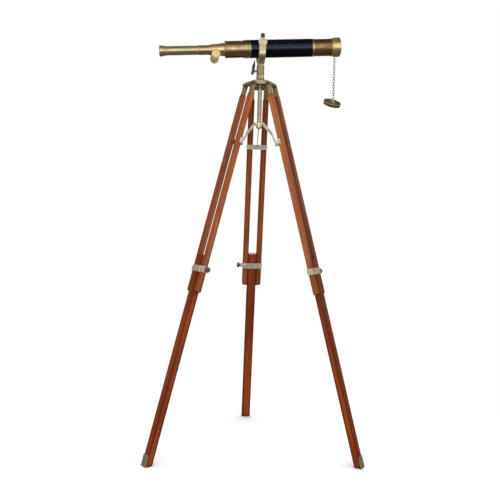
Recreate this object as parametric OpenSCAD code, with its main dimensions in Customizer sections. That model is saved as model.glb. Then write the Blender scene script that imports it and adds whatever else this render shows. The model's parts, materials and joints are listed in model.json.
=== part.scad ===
// Brass and leather telescope on a folding wooden tripod.
// Millimetres, +Z up. The origin is on the floor, midway between the three feet.
// The telescope points along +X and the back leg stands towards +Y.

/* [Tripod stance] */
// Height of the leg hinges above the floor
hinge_height = 1200; // [1000:10:1440]
// Distance of each leg hinge from the tripod's axis
hinge_radius = 40; // [38:1:50]
// Distance of each foot from the tripod's axis
foot_radius = 376; // [300:2:460]
// Turn of the tripod under the telescope, in degrees
tripod_turn = -5; // [-30:1:30]

/* [Leg timber] */
// Distance between the middles of a leg's two rails
rail_spacing = 47.6; // [44:0.2:58]
// Width of a rail
rail_width = 20; // [17:0.5:24]
// Depth of a rail
rail_depth = 15.5; // [15:0.5:20]
// Distance from the hinge to a rail's lower end, along the leg
rail_end = 700; // [560:2:800]
// Width of the sliding lower bar beyond the gap between the rails, held in its two grooves
bar_grip = 3.9; // [3:0.1:6]
// Depth of the sliding lower bar
bar_depth = 20.5; // [18:0.5:26]
// Length of lower bar held between the rails
bar_overlap = 118; // [80:2:160]
// Radius of the rounded edges of the timber
timber_round = 3; // [1:0.5:4]

/* [Leg fittings] */
// Diameter of the hinge bolts
bolt_d = 8; // [6:0.5:9]
// Thickness of the ear on top of a ferrule
ear_thickness = 9; // [7:0.5:11]
// Outer diameter of a ferrule's socket
ferrule_d = 16.6; // [16:0.2:19]
// Length of a ferrule's socket
ferrule_length = 31; // [20:1:40]
// Thickness of the sheet brass on the legs
sheet = 1.6; // [1:0.2:2.4]
// Distance from the hinge to the brace bracket, along the leg
brace_place = 197; // [170:1:230]
// Height of the brace bracket
brace_height = 16; // [12:1:24]
// Distance from the hinge to the clamp band, along the leg
band_place = 626; // [520:1:680]
// Height of the clamp band
band_height = 20; // [14:1:28]
// Diameter of the thumb screw's shank
thumb_screw_d = 6; // [5:0.5:8]
// Diameter of the thumb screw's knob
thumb_knob_d = 18; // [14:1:22]
// Length of the brass shoe up the leg
shoe_length = 34; // [28:1:60]
// Thickness of the brass shoe
shoe_sheet = 2.4; // [1.6:0.2:4]

/* [Head] */
// Width of the lug between a leg's two ferrules
lug_clearance = 0.3; // [0.2:0.1:0.8]
// Height of the plate that joins the three lugs
plate_height = 12; // [10:1:16]
// Height of the plate's top face above the hinges
plate_rise = 12; // [9:0.5:14]
// Diameter of the neck above the plate
neck_d = 26; // [22:0.5:27]
// Diameter of the flared foot of the neck
neck_foot_d = 34; // [30:0.5:40]
// Height of the neck
neck_height = 20.7; // [16:0.1:32]
// Diameter of the spigot that the pan sleeve turns on
spigot_d = 16; // [14:0.5:18]
// Diameter of the centre post
post_d = 14.2; // [12:0.2:18]
// Distance from the hinges down to the end of the centre post
post_drop = 137.4; // [120:0.2:170]

/* [Spreader] */
// Distance of the collar's pins from the tripod's axis
hub_pin_radius = 16; // [15:0.5:20]
// Reach of the brace bracket's lug in from the middle of the leg
lug_reach = 28; // [24:0.5:34]
// Diameter of the spreader's rivets
rivet_d = 3; // [2.5:0.5:4]
// Thickness of a spreader arm
arm_thickness = 3; // [2:0.5:4]
// Width of the upper half of a spreader arm
arm_width = 9; // [8:0.5:12]
// Bow of a spreader arm out from the straight line between its pins
arm_bow = 5.2; // [2:0.2:12]
// Radial play of the arm's upper eye, which a real loose rivet has
eye_play = 1.7; // [1.4:0.1:2.2]

/* [Pan sleeve and lever] */
// Diameter of the pan sleeve
sleeve_d = 26; // [25:0.2:34]
// Height of the pan sleeve
sleeve_height = 30.2; // [26:0.2:40]
// Height of the lever's screw above the foot of the sleeve
lever_place = 12; // [9:0.2:14]
// Length of the lever's grip
lever_length = 49; // [40:1:60]
// Lean of the lever's grip towards the sleeve, in degrees
lever_lean = 9; // [0:1:12]

/* [Yoke] */
// Width of the yoke's strap, along the telescope
yoke_width = 22; // [18:0.5:26]
// Thickness of the yoke's strap
yoke_thickness = 8; // [7:0.5:10]
// Gap between the telescope and each arm of the yoke
yoke_gap = 0.9; // [0.7:0.1:2]
// Distance from the trunnions down to the centre of the yoke's bend
yoke_drop = 14; // [10:0.5:24]
// Radius of the round head on each arm
boss_radius = 14; // [12:0.5:16]
// Height of that head's centre above the trunnions
boss_rise = 13; // [12:0.5:15]
// Diameter of the trunnion screws
trunnion_d = 5; // [4:0.5:6]
// Diameter of the tilt lock's knob
lock_knob_d = 13.5; // [10:0.5:16]
// Tilt of the telescope at rest, objective up, in degrees
rest_tilt = 4.8; // [0:0.2:20]

/* [Telescope barrel] */
// Outer diameter of the main tube, under the leather
tube_d = 55.2; // [44:0.2:66]
// Wall of the main tube
tube_wall = 1.6; // [1:0.1:2.4]
// Thickness of the leather
leather = 1.5; // [1:0.1:2.5]
// Length of leather behind the trunnions
leather_back = 36.5; // [30:0.5:60]
// Length of leather in front of the trunnions
leather_front = 168; // [130:1:220]
// Length of the ringed end of the rear sleeve
rear_ring_length = 21.5; // [16:0.5:30]
// Length of the plain part of the rear sleeve
rear_length = 55; // [40:1:80]
// Length of the rear sleeve's end wall
rear_wall_length = 7; // [5:0.5:10]
// Length of the front sleeve's ring
front_ring_length = 7; // [5:0.5:12]
// Length of the plain part of the front sleeve that shows
front_length = 59.5; // [40:0.5:90]
// Length of the objective cell
cell_length = 29.8; // [29.4:0.2:46]
// Outer diameter of the objective cell
cell_d = 63.2; // [62:0.2:78]
// Diameter of the objective lens
objective_d = 53.6; // [42:0.2:54]

/* [Focusing] */
// Length of the focusing housing behind the rear sleeve
housing_length = 51.5; // [50:0.5:70]
// Outer diameter of the draw tube
draw_d = 30.4; // [26:0.2:34]
// Length of draw tube in view at rest
draw_shown = 19.5; // [12:0.5:40]
// Outer diameter of the eyepiece barrel
barrel_d = 29.2; // [25:0.2:30]
// Length of the eyepiece barrel
barrel_length = 103; // [70:1:140]
// Length of the eyecup
eyecup_length = 26; // [20:1:34]
// Diameter of the eyecup's rim
eyecup_d = 34.8; // [32:0.2:40]
// Tooth size of the focusing rack and pinion, pitch over pi
tooth_module = 0.8; // [0.7:0.05:0.9]
// Number of teeth on the pinion
pinion_teeth = 12; // [11:1:13]
// Diameter of the focusing knobs
focus_knob_d = 28.5; // [22:0.5:32]
// Thickness of the focusing knobs
focus_knob_thickness = 9; // [6:0.5:12]
// Distance from the middle of the tube to a knob's outer face
focus_knob_reach = 38.5; // [36:0.5:44]
// Outward travel of the draw tube
focus_travel = 40; // [20:1:42]

/* [Cap and chain] */
// Diameter of the chain's wire
chain_wire = 1.5; // [1:0.1:1.6]
// Inner length of a chain link
link_inner_length = 9.1; // [8:0.1:12]
// Inner width of a chain link
link_inner_width = 5.2; // [4.8:0.1:6]
// Diameter of the lens cap
cap_d = 60; // [50:0.2:74]
// Height of the lens cap's rim
cap_height = 11; // [9:0.5:14]
// Tilt of the hanging cap towards the side of the telescope, in degrees
cap_tilt_side = 30; // [0:1:34]
// Tilt of the hanging cap along the telescope, in degrees
cap_tilt_along = 8; // [0:1:12]

/* [Hidden] */
$fn = 64;

// Clearances that the whole model shares
running_fit = 0.05; // radial clearance of a shaft or screw in its bore
slide_fit = 0.08;   // radial clearance of a tube or collar that slides
gap = 0.3;          // clearance between flat faces that move past each other

// Legs
BACK = 0;
LEFT = 1;
RIGHT = 2;
splay = atan((foot_radius - hinge_radius) / hinge_height);
leg_width = rail_spacing + rail_width;
rail_gap = rail_spacing - rail_width;
bar_width = rail_gap + bar_grip;
groove_depth = bar_grip / 2 + gap;
ear_radius = 7;
ferrule_top = 9;
rail_top = ferrule_top + 2.3;
rail_shoulder = ferrule_top + ferrule_length;
tenon_r = ferrule_d / 2 - 1.5;
bar_top = rail_end - bar_overlap;
knuckle_radius = 8;
lug_half = rail_spacing / 2 - ear_thickness / 2 - lug_clearance;
bolt_grip = rail_spacing / 2 + ear_thickness / 2 + gap;
band_boss = 6;
wing_depth = 9;

// Head
plate_top = hinge_height + plate_rise;
plate_bottom = plate_top - plate_height;
lug_brow = 9;
sleeve_foot = plate_top + neck_height + 0.6;
sleeve_top = sleeve_foot + sleeve_height;
spigot_top = sleeve_foot + 17;
lever_height = sleeve_foot + lever_place;
post_bottom = hinge_height - post_drop;
post_socket_top = plate_top - 3;
boss_drop = 5;

// Spreader
collar_bottom = post_bottom + 0.4;
collar_height = 14;
collar_wall = 2.4;
cheek = 2.5;
cheek_gap = arm_thickness + 0.4;
eye_radius = arm_width / 2;
hub_pin = [hub_pin_radius, collar_bottom + 9.6];
lug_pin = [
    hinge_radius + brace_place * sin(splay) - lug_reach * cos(splay),
    hinge_height - brace_place * cos(splay) - lug_reach * sin(splay)
];
arm_chord = norm(lug_pin - hub_pin);
arm_along = (lug_pin - hub_pin) / arm_chord;
arm_knee = (hub_pin + lug_pin) / 2 + arm_bow * [-arm_along[1], arm_along[0]];

// Telescope, with stations along its own axis from the trunnions
tube_r = tube_d / 2;
leather_r = tube_r + leather;
bore_r = tube_r - tube_wall;
rear_ring_end = -leather_back - rear_ring_length;
rear_body_end = rear_ring_end - rear_length;
rear_wall_end = rear_body_end - rear_wall_length;
tube_back = rear_ring_end + 3;
housing_end = rear_wall_end - housing_length;
draw_end = housing_end - draw_shown;
draw_ring_length = 12.5;
barrel_start = draw_end - draw_ring_length;
barrel_end = barrel_start - barrel_length;
eye_end = barrel_end - eyecup_length;
front_ring_end = leather_front + front_ring_length;
tube_front = front_ring_end - 2;
cell_start = front_ring_end + front_length;
cell_end = cell_start + cell_length;
sleeve_in_cell = 7;
cell_seat = cell_start + sleeve_in_cell;
lens_start = cell_seat + 1.2;
lens_thickness = 7;
ring_start = lens_start + lens_thickness + 0.2;
ring_thickness = 3.4;
cell_recess = 10;
cap_clearance = 0.2;
pad_radius = 6.5;
pad_face = leather_r + 0.6;

// Yoke
yoke_r = leather_r + yoke_gap;
yoke_outer = yoke_r + yoke_thickness;
yoke_shoulder = 4;
pivot_height = sleeve_top + yoke_shoulder + yoke_outer + yoke_drop;
boss_flat = boss_rise + boss_radius - 1.5;
trunnion_head = 2.2;
lock_screw_d = 4;
lock_screw_y = -(yoke_r + 3);

// Rack and pinion
pinion_place = rear_wall_end - 32.6;
pitch = PI * tooth_module;
pitch_radius = tooth_module * pinion_teeth / 2;
rack_width = 5;
rack_seat = draw_d / 2 - 0.3;
rack_root = rack_seat + 0.6;
rack_line = rack_root + tooth_module + 0.2;
pinion_drop = rack_line + pitch_radius;
rack_back = pinion_place - 22.5;
rack_front = pinion_place + focus_travel + 5;
shaft_d = 5;
backlash = 0.06;

// Chain
LINKS = 15;
link_pitch = link_inner_length - gap;
link_reach = link_inner_length / 2 + chain_wire / 2;
eyelet_radius = link_inner_width / 2 + chain_wire / 2 - 0.35;
eyelet_place = cell_start + 12;
eyelet_drop = cell_d / 2 + 3.6;
chain_x = eyelet_place * cos(rest_tilt) + eyelet_drop * sin(rest_tilt);
eyelet_z = pivot_height + eyelet_place * sin(rest_tilt) - eyelet_drop * cos(rest_tilt);
first_link_z = eyelet_z - eyelet_radius + chain_wire + gap - link_reach;
cap_pivot_z = first_link_z - (LINKS - 1) * link_pitch - link_reach;
cap_hole_d = chain_wire + 2.5;
cap_hole_drop = (cap_hole_d - chain_wire) / 2 - gap - 0.5;
tongue_thickness = 2.6;
knob_height = 12;

// ---- shared shapes ----

// Centred rectangle with round corners
module rounded_rect(size_x, size_y, radius) {
    square([size_x - 2 * radius, size_y], center = true);
    square([size_x, size_y - 2 * radius], center = true);
    for (sx = [-1, 1], sy = [-1, 1])
        translate([sx * (size_x / 2 - radius), sy * (size_y / 2 - radius)])
            circle(r = radius);
}

// Flat bar with round ends between two points of a plane
module flat_bar(from, to, width) {
    reach = to - from;
    translate(from) rotate(atan2(reach[1], reach[0])) {
        translate([0, -width / 2])
            square([norm(reach), width]);
        for (end = [0, norm(reach)])
            translate([end, 0]) circle(d = width);
    }
}

// Plate drawn in the plane of a leg: x of the outline runs outwards, y runs up
module leg_plane_plate(thickness) {
    rotate([90, 0, 90])
        linear_extrude(height = thickness, center = true)
            children();
}

// Body turned about the X axis from an outline of [station, radius] points
module turned_x(outline) {
    rotate([0, 90, 0])
        rotate_extrude()
            polygon([for (point = outline) [point[1], point[0]]]);
}

module rod_x(from, to, radius) {
    translate([from, 0, 0])
        rotate([0, 90, 0])
            cylinder(r = radius, h = to - from);
}

module tube_x(from, to, outer, inner) {
    difference() {
        rod_x(from, to, outer);
        rod_x(from - 1, to + 1, inner);
    }
}

// Round ring of wire-like section round the X axis
module bead_x(station, radius, size) {
    translate([station, 0, 0])
        rotate([0, 90, 0])
            rotate_extrude()
                translate([radius, 0]) circle(r = size);
}

// Places
module at_leg(leg) {
    rotate([0, 0, tripod_turn + 120 * leg])
        translate([0, hinge_radius, hinge_height])
            rotate([splay, 0, 0])
                children();
}

module at_leg_plane(leg) {
    rotate([0, 0, tripod_turn + 120 * leg]) children();
}

module at_scope() {
    translate([0, 0, pivot_height])
        rotate([0, -rest_tilt, 0])
            children();
}

// Everything lower than a height above the floor, round one foot
module below_floor(leg, height) {
    depth = 60;
    at_leg_plane(leg)
        translate([-depth, foot_radius - depth, height - depth])
            cube([2 * depth, 2 * depth, depth]);
}

// ---- head ----

// Turned neck with a hollow flare down to its foot
module neck_outline() {
    neck_r = neck_d / 2;
    spread = neck_foot_d / 2 - neck_r;
    flare_height = neck_height - 2;
    flare_radius = (spread * spread + flare_height * flare_height) / (2 * spread);
    difference() {
        square([neck_foot_d / 2, neck_height]);
        translate([neck_r + flare_radius, flare_height])
            circle(r = flare_radius, $fn = 128);
        translate([neck_r, flare_height])
            square([neck_foot_d, neck_height]);
    }
}

module head_plan() {
    for (leg = [0 : 2])
        rotate(120 * leg)
            translate([-lug_half, 0])
                square([2 * lug_half, hinge_radius - 2 * lug_brow]);
    // webs between the lugs, whose ends lie inside the lugs
    across = lug_half - 3;
    out = hinge_radius - lug_brow - 1;
    polygon([
        for (leg = [0 : 2], side = [1, -1])
            let (turn = 120 * leg)
            [
                side * across * cos(turn) - out * sin(turn),
                side * across * sin(turn) + out * cos(turn)
            ]
    ]);
}

// Side of a lug, which slopes down from the plate to the round knuckle
module lug_outline() {
    turn = atan2(plate_rise, -lug_brow) - acos(knuckle_radius / norm([lug_brow, plate_rise]));
    inner_end = hinge_radius - 2 * lug_brow - 1;
    polygon([
        [inner_end, plate_bottom],
        [inner_end, plate_top],
        [hinge_radius - lug_brow, plate_top],
        [hinge_radius + knuckle_radius * cos(turn), hinge_height + knuckle_radius * sin(turn)],
        [hinge_radius, hinge_height],
        [hinge_radius - knuckle_radius, hinge_height]
    ]);
    translate([hinge_radius, hinge_height]) circle(r = knuckle_radius);
}

module head_casting() {
    pocket_width = 2 * lug_half - 14;
    color("darkgoldenrod") rotate([0, 0, tripod_turn]) difference() {
        union() {
            translate([0, 0, plate_bottom])
                linear_extrude(height = plate_height) head_plan();
            translate([0, 0, plate_top - 0.01])
                rotate_extrude() neck_outline();
            translate([0, 0, plate_top])
                cylinder(d = spigot_d, h = spigot_top - plate_top);
            // boss round the top of the centre post
            translate([0, 0, plate_bottom - boss_drop])
                cylinder(d = post_d + 10, h = boss_drop + 1);
            for (leg = [0 : 2])
                rotate([0, 0, 120 * leg])
                    leg_plane_plate(2 * lug_half) lug_outline();
        }
        for (leg = [0 : 2]) rotate([0, 0, 120 * leg]) {
            translate([0, hinge_radius, hinge_height])
                rotate([0, 90, 0])
                    cylinder(d = bolt_d + 2 * running_fit, h = 4 * lug_half, center = true);
            // cored pocket under each lug, open below
            translate([-pocket_width / 2, post_d / 2 + 8, plate_bottom - 20])
                cube([pocket_width, hinge_radius - post_d / 2 - 14, plate_height + 15]);
        }
        translate([0, 0, plate_bottom - boss_drop - 1])
            cylinder(d = post_d + 2 * running_fit, h = post_socket_top - plate_bottom + boss_drop + 1);
        // groove that the lever's screw holds the sleeve by
        translate([0, 0, lever_height - 4])
            difference() {
                cylinder(d = spigot_d + 2, h = 8);
                cylinder(d = spigot_d - 2.4, h = 8);
            }
    }
}

module centre_post() {
    color("darkkhaki")
        translate([0, 0, post_bottom])
            cylinder(d = post_d, h = post_socket_top - post_bottom - gap);
}

// Flanged cap that keeps the spreader collar on the post
module post_stop() {
    color("darkgoldenrod") translate([0, 0, post_bottom - 3]) {
        cylinder(d = post_d + 3.6, h = 3);
        translate([0, 0, -2])
            cylinder(d = 9, h = 2.01);
    }
}

module hinge_bolts() {
    head = 4;
    color("dimgray")
        for (leg = [0 : 2])
            at_leg_plane(leg)
                translate([0, hinge_radius, hinge_height])
                    rotate([0, 90, 0]) {
                        translate([0, 0, -bolt_grip])
                            cylinder(d = bolt_d, h = 2 * bolt_grip + 7);
                        // slotted cheese head on the clamp side
                        difference() {
                            translate([0, 0, -bolt_grip - head])
                                cylinder(d = bolt_d + 4.4, h = head);
                            translate([-10, -0.8, -bolt_grip - head - 1])
                                cube([20, 1.6, 2.2]);
                        }
                        // hexagon nut
                        translate([0, 0, bolt_grip])
                            difference() {
                                cylinder(d = bolt_d + 6, h = 5, $fn = 6);
                                translate([0, 0, -1])
                                    cylinder(d = bolt_d + 2 * running_fit, h = 8);
                            }
                    }
}

// ---- pan sleeve, lever and yoke ----

module pan_sleeve() {
    sleeve_r = sleeve_d / 2;
    color("darkgoldenrod") difference() {
        translate([0, 0, sleeve_foot]) rotate_extrude() polygon([
            [spigot_d / 2 + running_fit, 0],
            [sleeve_r - 0.8, 0],
            [sleeve_r, 0.8],
            [sleeve_r, 2.4],
            [sleeve_r - 0.7, 3],
            [sleeve_r - 0.7, 3.8],
            [sleeve_r, 4.4],
            [sleeve_r, sleeve_height - 1.5],
            [sleeve_r - 1.5, sleeve_height],
            [spigot_d / 2 + running_fit, sleeve_height]
        ]);
        translate([0, 0, lever_height])
            rotate([0, -90, 0])
                cylinder(d = 6 + 2 * running_fit, h = sleeve_d);
    }
}

// Steel stud of the clamping lever, with its hub
module lever_screw() {
    color("silver") translate([0, 0, lever_height]) rotate([0, -90, 0]) {
        translate([0, 0, spigot_d / 2 + gap])
            cylinder(d = 6, h = sleeve_d / 2 + 6.5 - spigot_d / 2);
        translate([0, 0, spigot_d / 2 - 0.8])
            cylinder(d = 4.6, h = 2);
        translate([0, 0, sleeve_d / 2 + 5.5])
            cylinder(d = 9.5, h = 1.4);
        translate([0, 0, sleeve_d / 2 + 6])
            cylinder(d = 4, h = 10.4);
    }
}

// Value between two others, eased in and out
function eased(from, to, share) = from + (to - from) * (1 - cos(180 * share)) / 2;

// Half outline of the lever's grip: round ends, a waist at the hub and a thick part above it
module grip_outline() {
    tail = 12;
    tail_r = 4.8;
    tip_r = 1.5;
    tip = lever_length - tail - tip_r;
    // [height, radius] of each wide or narrow place
    places = [[tail_r - tail, tail_r], [2, 4.2], [11, 5.6], [tip, tip_r]];
    steps = 6;
    polygon(concat(
        [for (i = [0 : steps - 1]) let (turn = 90 * i / steps)
            [tail_r * sin(turn), tail_r - tail - tail_r * cos(turn)]],
        [for (part = [0 : 2], i = [0 : steps - 1])
            let (low = places[part], high = places[part + 1], share = i / steps)
            [eased(low[1], high[1], share), low[0] + (high[0] - low[0]) * share]],
        [for (i = [0 : steps]) let (turn = 90 * i / steps)
            [tip_r * cos(turn), tip + tip_r * sin(turn)]]
    ));
}

// Black paddle-shaped grip, thick where the hand presses
module lever_grip() {
    reach = sleeve_d / 2 + 12.3;
    color("black") difference() {
        translate([-reach, 0, lever_height])
            rotate([0, lever_lean, 0])
                rotate_extrude() grip_outline();
        translate([0, 0, lever_height])
            rotate([0, -90, 0])
                cylinder(d = 4 + 2 * running_fit, h = 60);
    }
}

// Section of the yoke's strap: flat inside, with rounded outer edges
module strap_section() {
    edge = 2.2;
    translate([yoke_r, -yoke_width / 2])
        square([yoke_thickness - edge, yoke_width]);
    translate([yoke_r, edge - yoke_width / 2])
        square([yoke_thickness, yoke_width - 2 * edge]);
    for (side = [-1, 1])
        translate([yoke_outer - edge, side * (yoke_width / 2 - edge)])
            circle(r = edge);
}

module yoke_arm(side) {
    rotate([0, 0, 90 * side])
        translate([0, 0, -yoke_drop])
            linear_extrude(height = yoke_drop + boss_rise) strap_section();
    difference() {
        translate([0, side * yoke_r, boss_rise])
            rotate([-90 * side, 0, 0])
                cylinder(r = boss_radius, h = yoke_thickness);
        translate([-20, -60, boss_flat])
            cube([40, 120, 20]);
        // plain ring sunk into the face of the head
        translate([0, side * (yoke_outer - 0.6), boss_rise + 1.6])
            rotate([-90 * side, 0, 0])
                difference() {
                    cylinder(r = 9, h = 2);
                    translate([0, 0, -1]) cylinder(r = 7.6, h = 4);
                }
    }
}

module yoke() {
    color("navajowhite") translate([0, 0, pivot_height]) difference() {
        union() {
            for (side = [-1, 1]) yoke_arm(side);
            translate([0, 0, -yoke_drop])
                rotate([90, 0, 90])
                    rotate([0, 0, 180])
                        rotate_extrude(angle = 180) strap_section();
            translate([0, 0, sleeve_top - pivot_height])
                cylinder(d = 21, h = yoke_shoulder + 3);
            translate([0, 0, spigot_top + 0.5 - pivot_height])
                cylinder(d = spigot_d, h = sleeve_top - spigot_top);
        }
        // bores and sunk seats for the trunnion screws
        rotate([90, 0, 0])
            cylinder(d = trunnion_d + 2 * running_fit, h = 3 * yoke_outer, center = true);
        for (side = [-1, 1])
            translate([0, side * (yoke_outer - trunnion_head), 0])
                rotate([-90 * side, 0, 0])
                    cylinder(d = trunnion_d + 4.4, h = 10);
        // tapped hole for the tilt lock
        translate([0, lock_screw_y, 0])
            cylinder(d = lock_screw_d + 2 * running_fit, h = 40);
    }
}

// Black knob whose screw presses on the near trunnion
module tilt_lock_knob() {
    knob_r = lock_knob_d / 2;
    color("black") translate([0, lock_screw_y, pivot_height]) {
        translate([0, 0, trunnion_d / 2 + gap])
            cylinder(d = lock_screw_d, h = boss_flat);
        translate([0, 0, boss_flat + gap])
            difference() {
                rotate_extrude() polygon([
                    [0, 0], [knob_r - 2, 0], [knob_r - 1.4, 3], [knob_r, 4], [knob_r, 13.4],
                    [knob_r - 1.6, 15], [0, 15]
                ]);
                for (turn = [0 : 30 : 330])
                    rotate([0, 0, turn])
                        translate([knob_r + 0.6, 0, 3.5])
                            cylinder(r = 1.1, h = 14, $fn = 24);
            }
    }
}

// ---- telescope barrel ----

module trunnion_pads(radius, face) {
    for (side = [-1, 1])
        rotate([-90 * side, 0, 0])
            cylinder(r = radius, h = face);
}

module main_tube() {
    color("goldenrod") at_scope() difference() {
        union() {
            rod_x(tube_back, tube_front, tube_r);
            trunnion_pads(pad_radius, pad_face);
        }
        rod_x(tube_back - 1, tube_front + 1, bore_r);
        rotate([90, 0, 0])
            cylinder(d = trunnion_d + 2 * running_fit, h = 3 * tube_r, center = true);
    }
}

module leather_cover() {
    color("black") at_scope() difference() {
        tube_x(-leather_back, leather_front, leather_r, tube_r + 0.02);
        trunnion_pads(pad_radius + gap, 2 * leather_r);
    }
}

// Brass sleeve behind the leather, with ringed front end and a bored end wall
module rear_sleeve() {
    body_r = tube_r - 0.6;
    wall_r = body_r + 0.8;
    ring_r = leather_r + 0.3;
    housing_r = draw_d / 2 + 5.6;
    color("darkgoldenrod") at_scope() difference() {
        union() {
            turned_x([
                [rear_wall_end, 0],
                [rear_wall_end, wall_r - 1],
                [rear_wall_end + 1, wall_r],
                [rear_body_end - 1, wall_r],
                [rear_body_end, body_r - 0.6],
                [rear_body_end + 2, body_r - 0.6],
                [rear_body_end + 2.6, body_r],
                [rear_ring_end, body_r],
                [rear_ring_end, ring_r],
                [rear_ring_end + 2, ring_r],
                [rear_ring_end + 2.4, ring_r - 0.8],
                [-leather_back - 3, ring_r - 0.8],
                [-leather_back - 2.4, ring_r],
                [-leather_back, ring_r],
                [-leather_back, 0]
            ]);
            bead_x(rear_ring_end + 10, ring_r - 0.9, 1.2);
            bead_x(rear_ring_end + 13, ring_r - 0.9, 1.2);
        }
        rod_x(tube_back, 0, tube_r + running_fit);
        rod_x(rear_body_end, 0, body_r - 1.6);
        rod_x(rear_wall_end - 1, 0, housing_r + running_fit);
    }
}

module front_sleeve() {
    ring_r = leather_r + 0.2;
    color("darkgoldenrod") at_scope() difference() {
        turned_x([
            [leather_front, 0],
            [leather_front, ring_r],
            [leather_front + 2, ring_r],
            [leather_front + 2.6, ring_r - 0.7],
            [leather_front + 3.6, ring_r - 0.7],
            [leather_front + 4.2, ring_r],
            [front_ring_end - 1, ring_r],
            [front_ring_end, tube_r],
            [cell_seat, tube_r],
            [cell_seat, 0]
        ]);
        rod_x(leather_front - 1, tube_front, tube_r + running_fit);
        rod_x(leather_front - 1, cell_seat + 1, bore_r);
    }
}

// Flared ring that holds the objective, with a recess for the cap
module objective_cell() {
    cell_r = cell_d / 2;
    edge = 2.4;
    color("gold") at_scope() difference() {
        union() {
            turned_x([
                [cell_start, 0],
                [cell_start, tube_r + 1.4],
                [cell_start + 2.4, tube_r + 1.4],
                [cell_start + 3, tube_r + 1],
                [cell_start + 5, tube_r + 1.6],
                [cell_start + 7.5, cell_r - 1.2],
                [cell_start + 9.5, cell_r - 0.6],
                [cell_end - 10, cell_r],
                [cell_end - edge, cell_r],
                [cell_end - edge, cell_r - edge],
                [cell_end, cell_r - edge],
                [cell_end, 0]
            ]);
            bead_x(cell_end - edge, cell_r - edge, edge);
        }
        rod_x(cell_start - 1, cell_seat, tube_r + running_fit);
        rod_x(cell_start - 1, cell_end, min(objective_d / 2 - 2.2, bore_r));
        rod_x(lens_start - 0.2, cell_end, objective_d / 2 + 0.1);
        rod_x(cell_end - cell_recess, cell_end + 1, cap_d / 2 + cap_clearance);
        // hole for the shank of the chain's eyelet
        translate([eyelet_place, 0, -cell_r - 1])
            cylinder(d = 2.2 + 2 * running_fit, h = 3.8);
    }
}

// Section of a lens, half of it, with a curved lower and upper face
module lens_section(radius, thickness, lower_ball, upper_ball) {
    intersection() {
        square([radius, thickness]);
        translate([0, lower_ball]) circle(r = lower_ball, $fn = 720);
        translate([0, thickness - upper_ball]) circle(r = upper_ball, $fn = 720);
    }
}

module lens_x(station, radius, thickness, back_ball, front_ball) {
    translate([station, 0, 0])
        rotate([0, 90, 0])
            rotate_extrude() lens_section(radius, thickness, back_ball, front_ball);
}

module objective_lens() {
    color("lightblue") at_scope()
        lens_x(lens_start, objective_d / 2, lens_thickness, 260, 120);
}

module lens_retaining_ring() {
    lens_r = objective_d / 2;
    color("darkgoldenrod") at_scope() difference() {
        tube_x(ring_start, ring_start + ring_thickness, lens_r + 0.05, lens_r - 2.2);
        // two notches for the ring's spanner
        for (side = [-1, 1])
            translate([ring_start + ring_thickness - 1.5, side * lens_r - 1.5, -1.2])
                cube([3, 3, 2.4]);
    }
}

module trunnion_screws() {
    color("goldenrod") at_scope()
        for (side = [-1, 1])
            rotate([-90 * side, 0, 0]) {
                translate([0, 0, bore_r - 1])
                    cylinder(d = trunnion_d, h = yoke_outer - trunnion_head + 0.3 - bore_r + 1);
                translate([0, 0, yoke_outer - trunnion_head + gap])
                    difference() {
                        cylinder(d = trunnion_d + 3.6, h = trunnion_head - gap - 0.2);
                        translate([-6, -0.6, 0.9])
                            cube([12, 1.2, 3]);
                    }
            }
}

// ---- focusing ----

module focus_housing() {
    slide_r = draw_d / 2 + slide_fit;
    waist_r = draw_d / 2 + 3.3;
    back_r = draw_d / 2 + 5.6;
    box_r = pitch_radius + tooth_module + 2.8;
    box_half = 9;
    boss_r = shaft_d / 2 + 2.7;
    boss_end = focus_knob_reach - focus_knob_thickness - 3.4;
    color("goldenrod") at_scope() difference() {
        union() {
            turned_x([
                [housing_end, 0],
                [housing_end, draw_d / 2 + 0.8],
                [housing_end + 0.8, draw_d / 2 + 1.4],
                [housing_end + 4.4, draw_d / 2 + 1.4],
                [housing_end + 5, draw_d / 2 + 1],
                [housing_end + 6.4, draw_d / 2 + 1],
                [housing_end + 7.4, waist_r],
                [pinion_place + 6, waist_r],
                [rear_wall_end - 9, back_r - 0.4],
                [rear_wall_end - 8, back_r],
                [rear_body_end + 4, back_r],
                [rear_body_end + 4, 0]
            ]);
            // cross box that carries the pinion
            translate([pinion_place, 0, -pinion_drop]) rotate([90, 0, 0]) {
                cylinder(r = box_r, h = 2 * box_half, center = true);
                cylinder(r = boss_r, h = 2 * boss_end, center = true);
            }
            translate([pinion_place - box_r, -box_half, -pinion_drop])
                cube([2 * box_r, 2 * box_half, pinion_drop - draw_d / 2]);
        }
        rod_x(housing_end - 1, 0, slide_r);
        // keyway for the rack
        translate([housing_end - 1, -rack_width / 2 - gap, -rack_line - tooth_module - 0.4])
            cube([housing_length + rear_wall_length + 10, rack_width + 2 * gap, 10]);
        translate([pinion_place, 0, -pinion_drop]) rotate([90, 0, 0]) {
            cylinder(r = pitch_radius + tooth_module + 0.6, h = 2 * box_half - 4, center = true);
            cylinder(d = shaft_d + 2 * running_fit, h = 4 * boss_end, center = true);
        }
    }
}

// Involute of a circle of the given radius, rolled out by an angle in degrees
function involute(radius, roll) = radius * [
    cos(roll) + roll * PI / 180 * sin(roll),
    sin(roll) - roll * PI / 180 * cos(roll)
];

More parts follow.
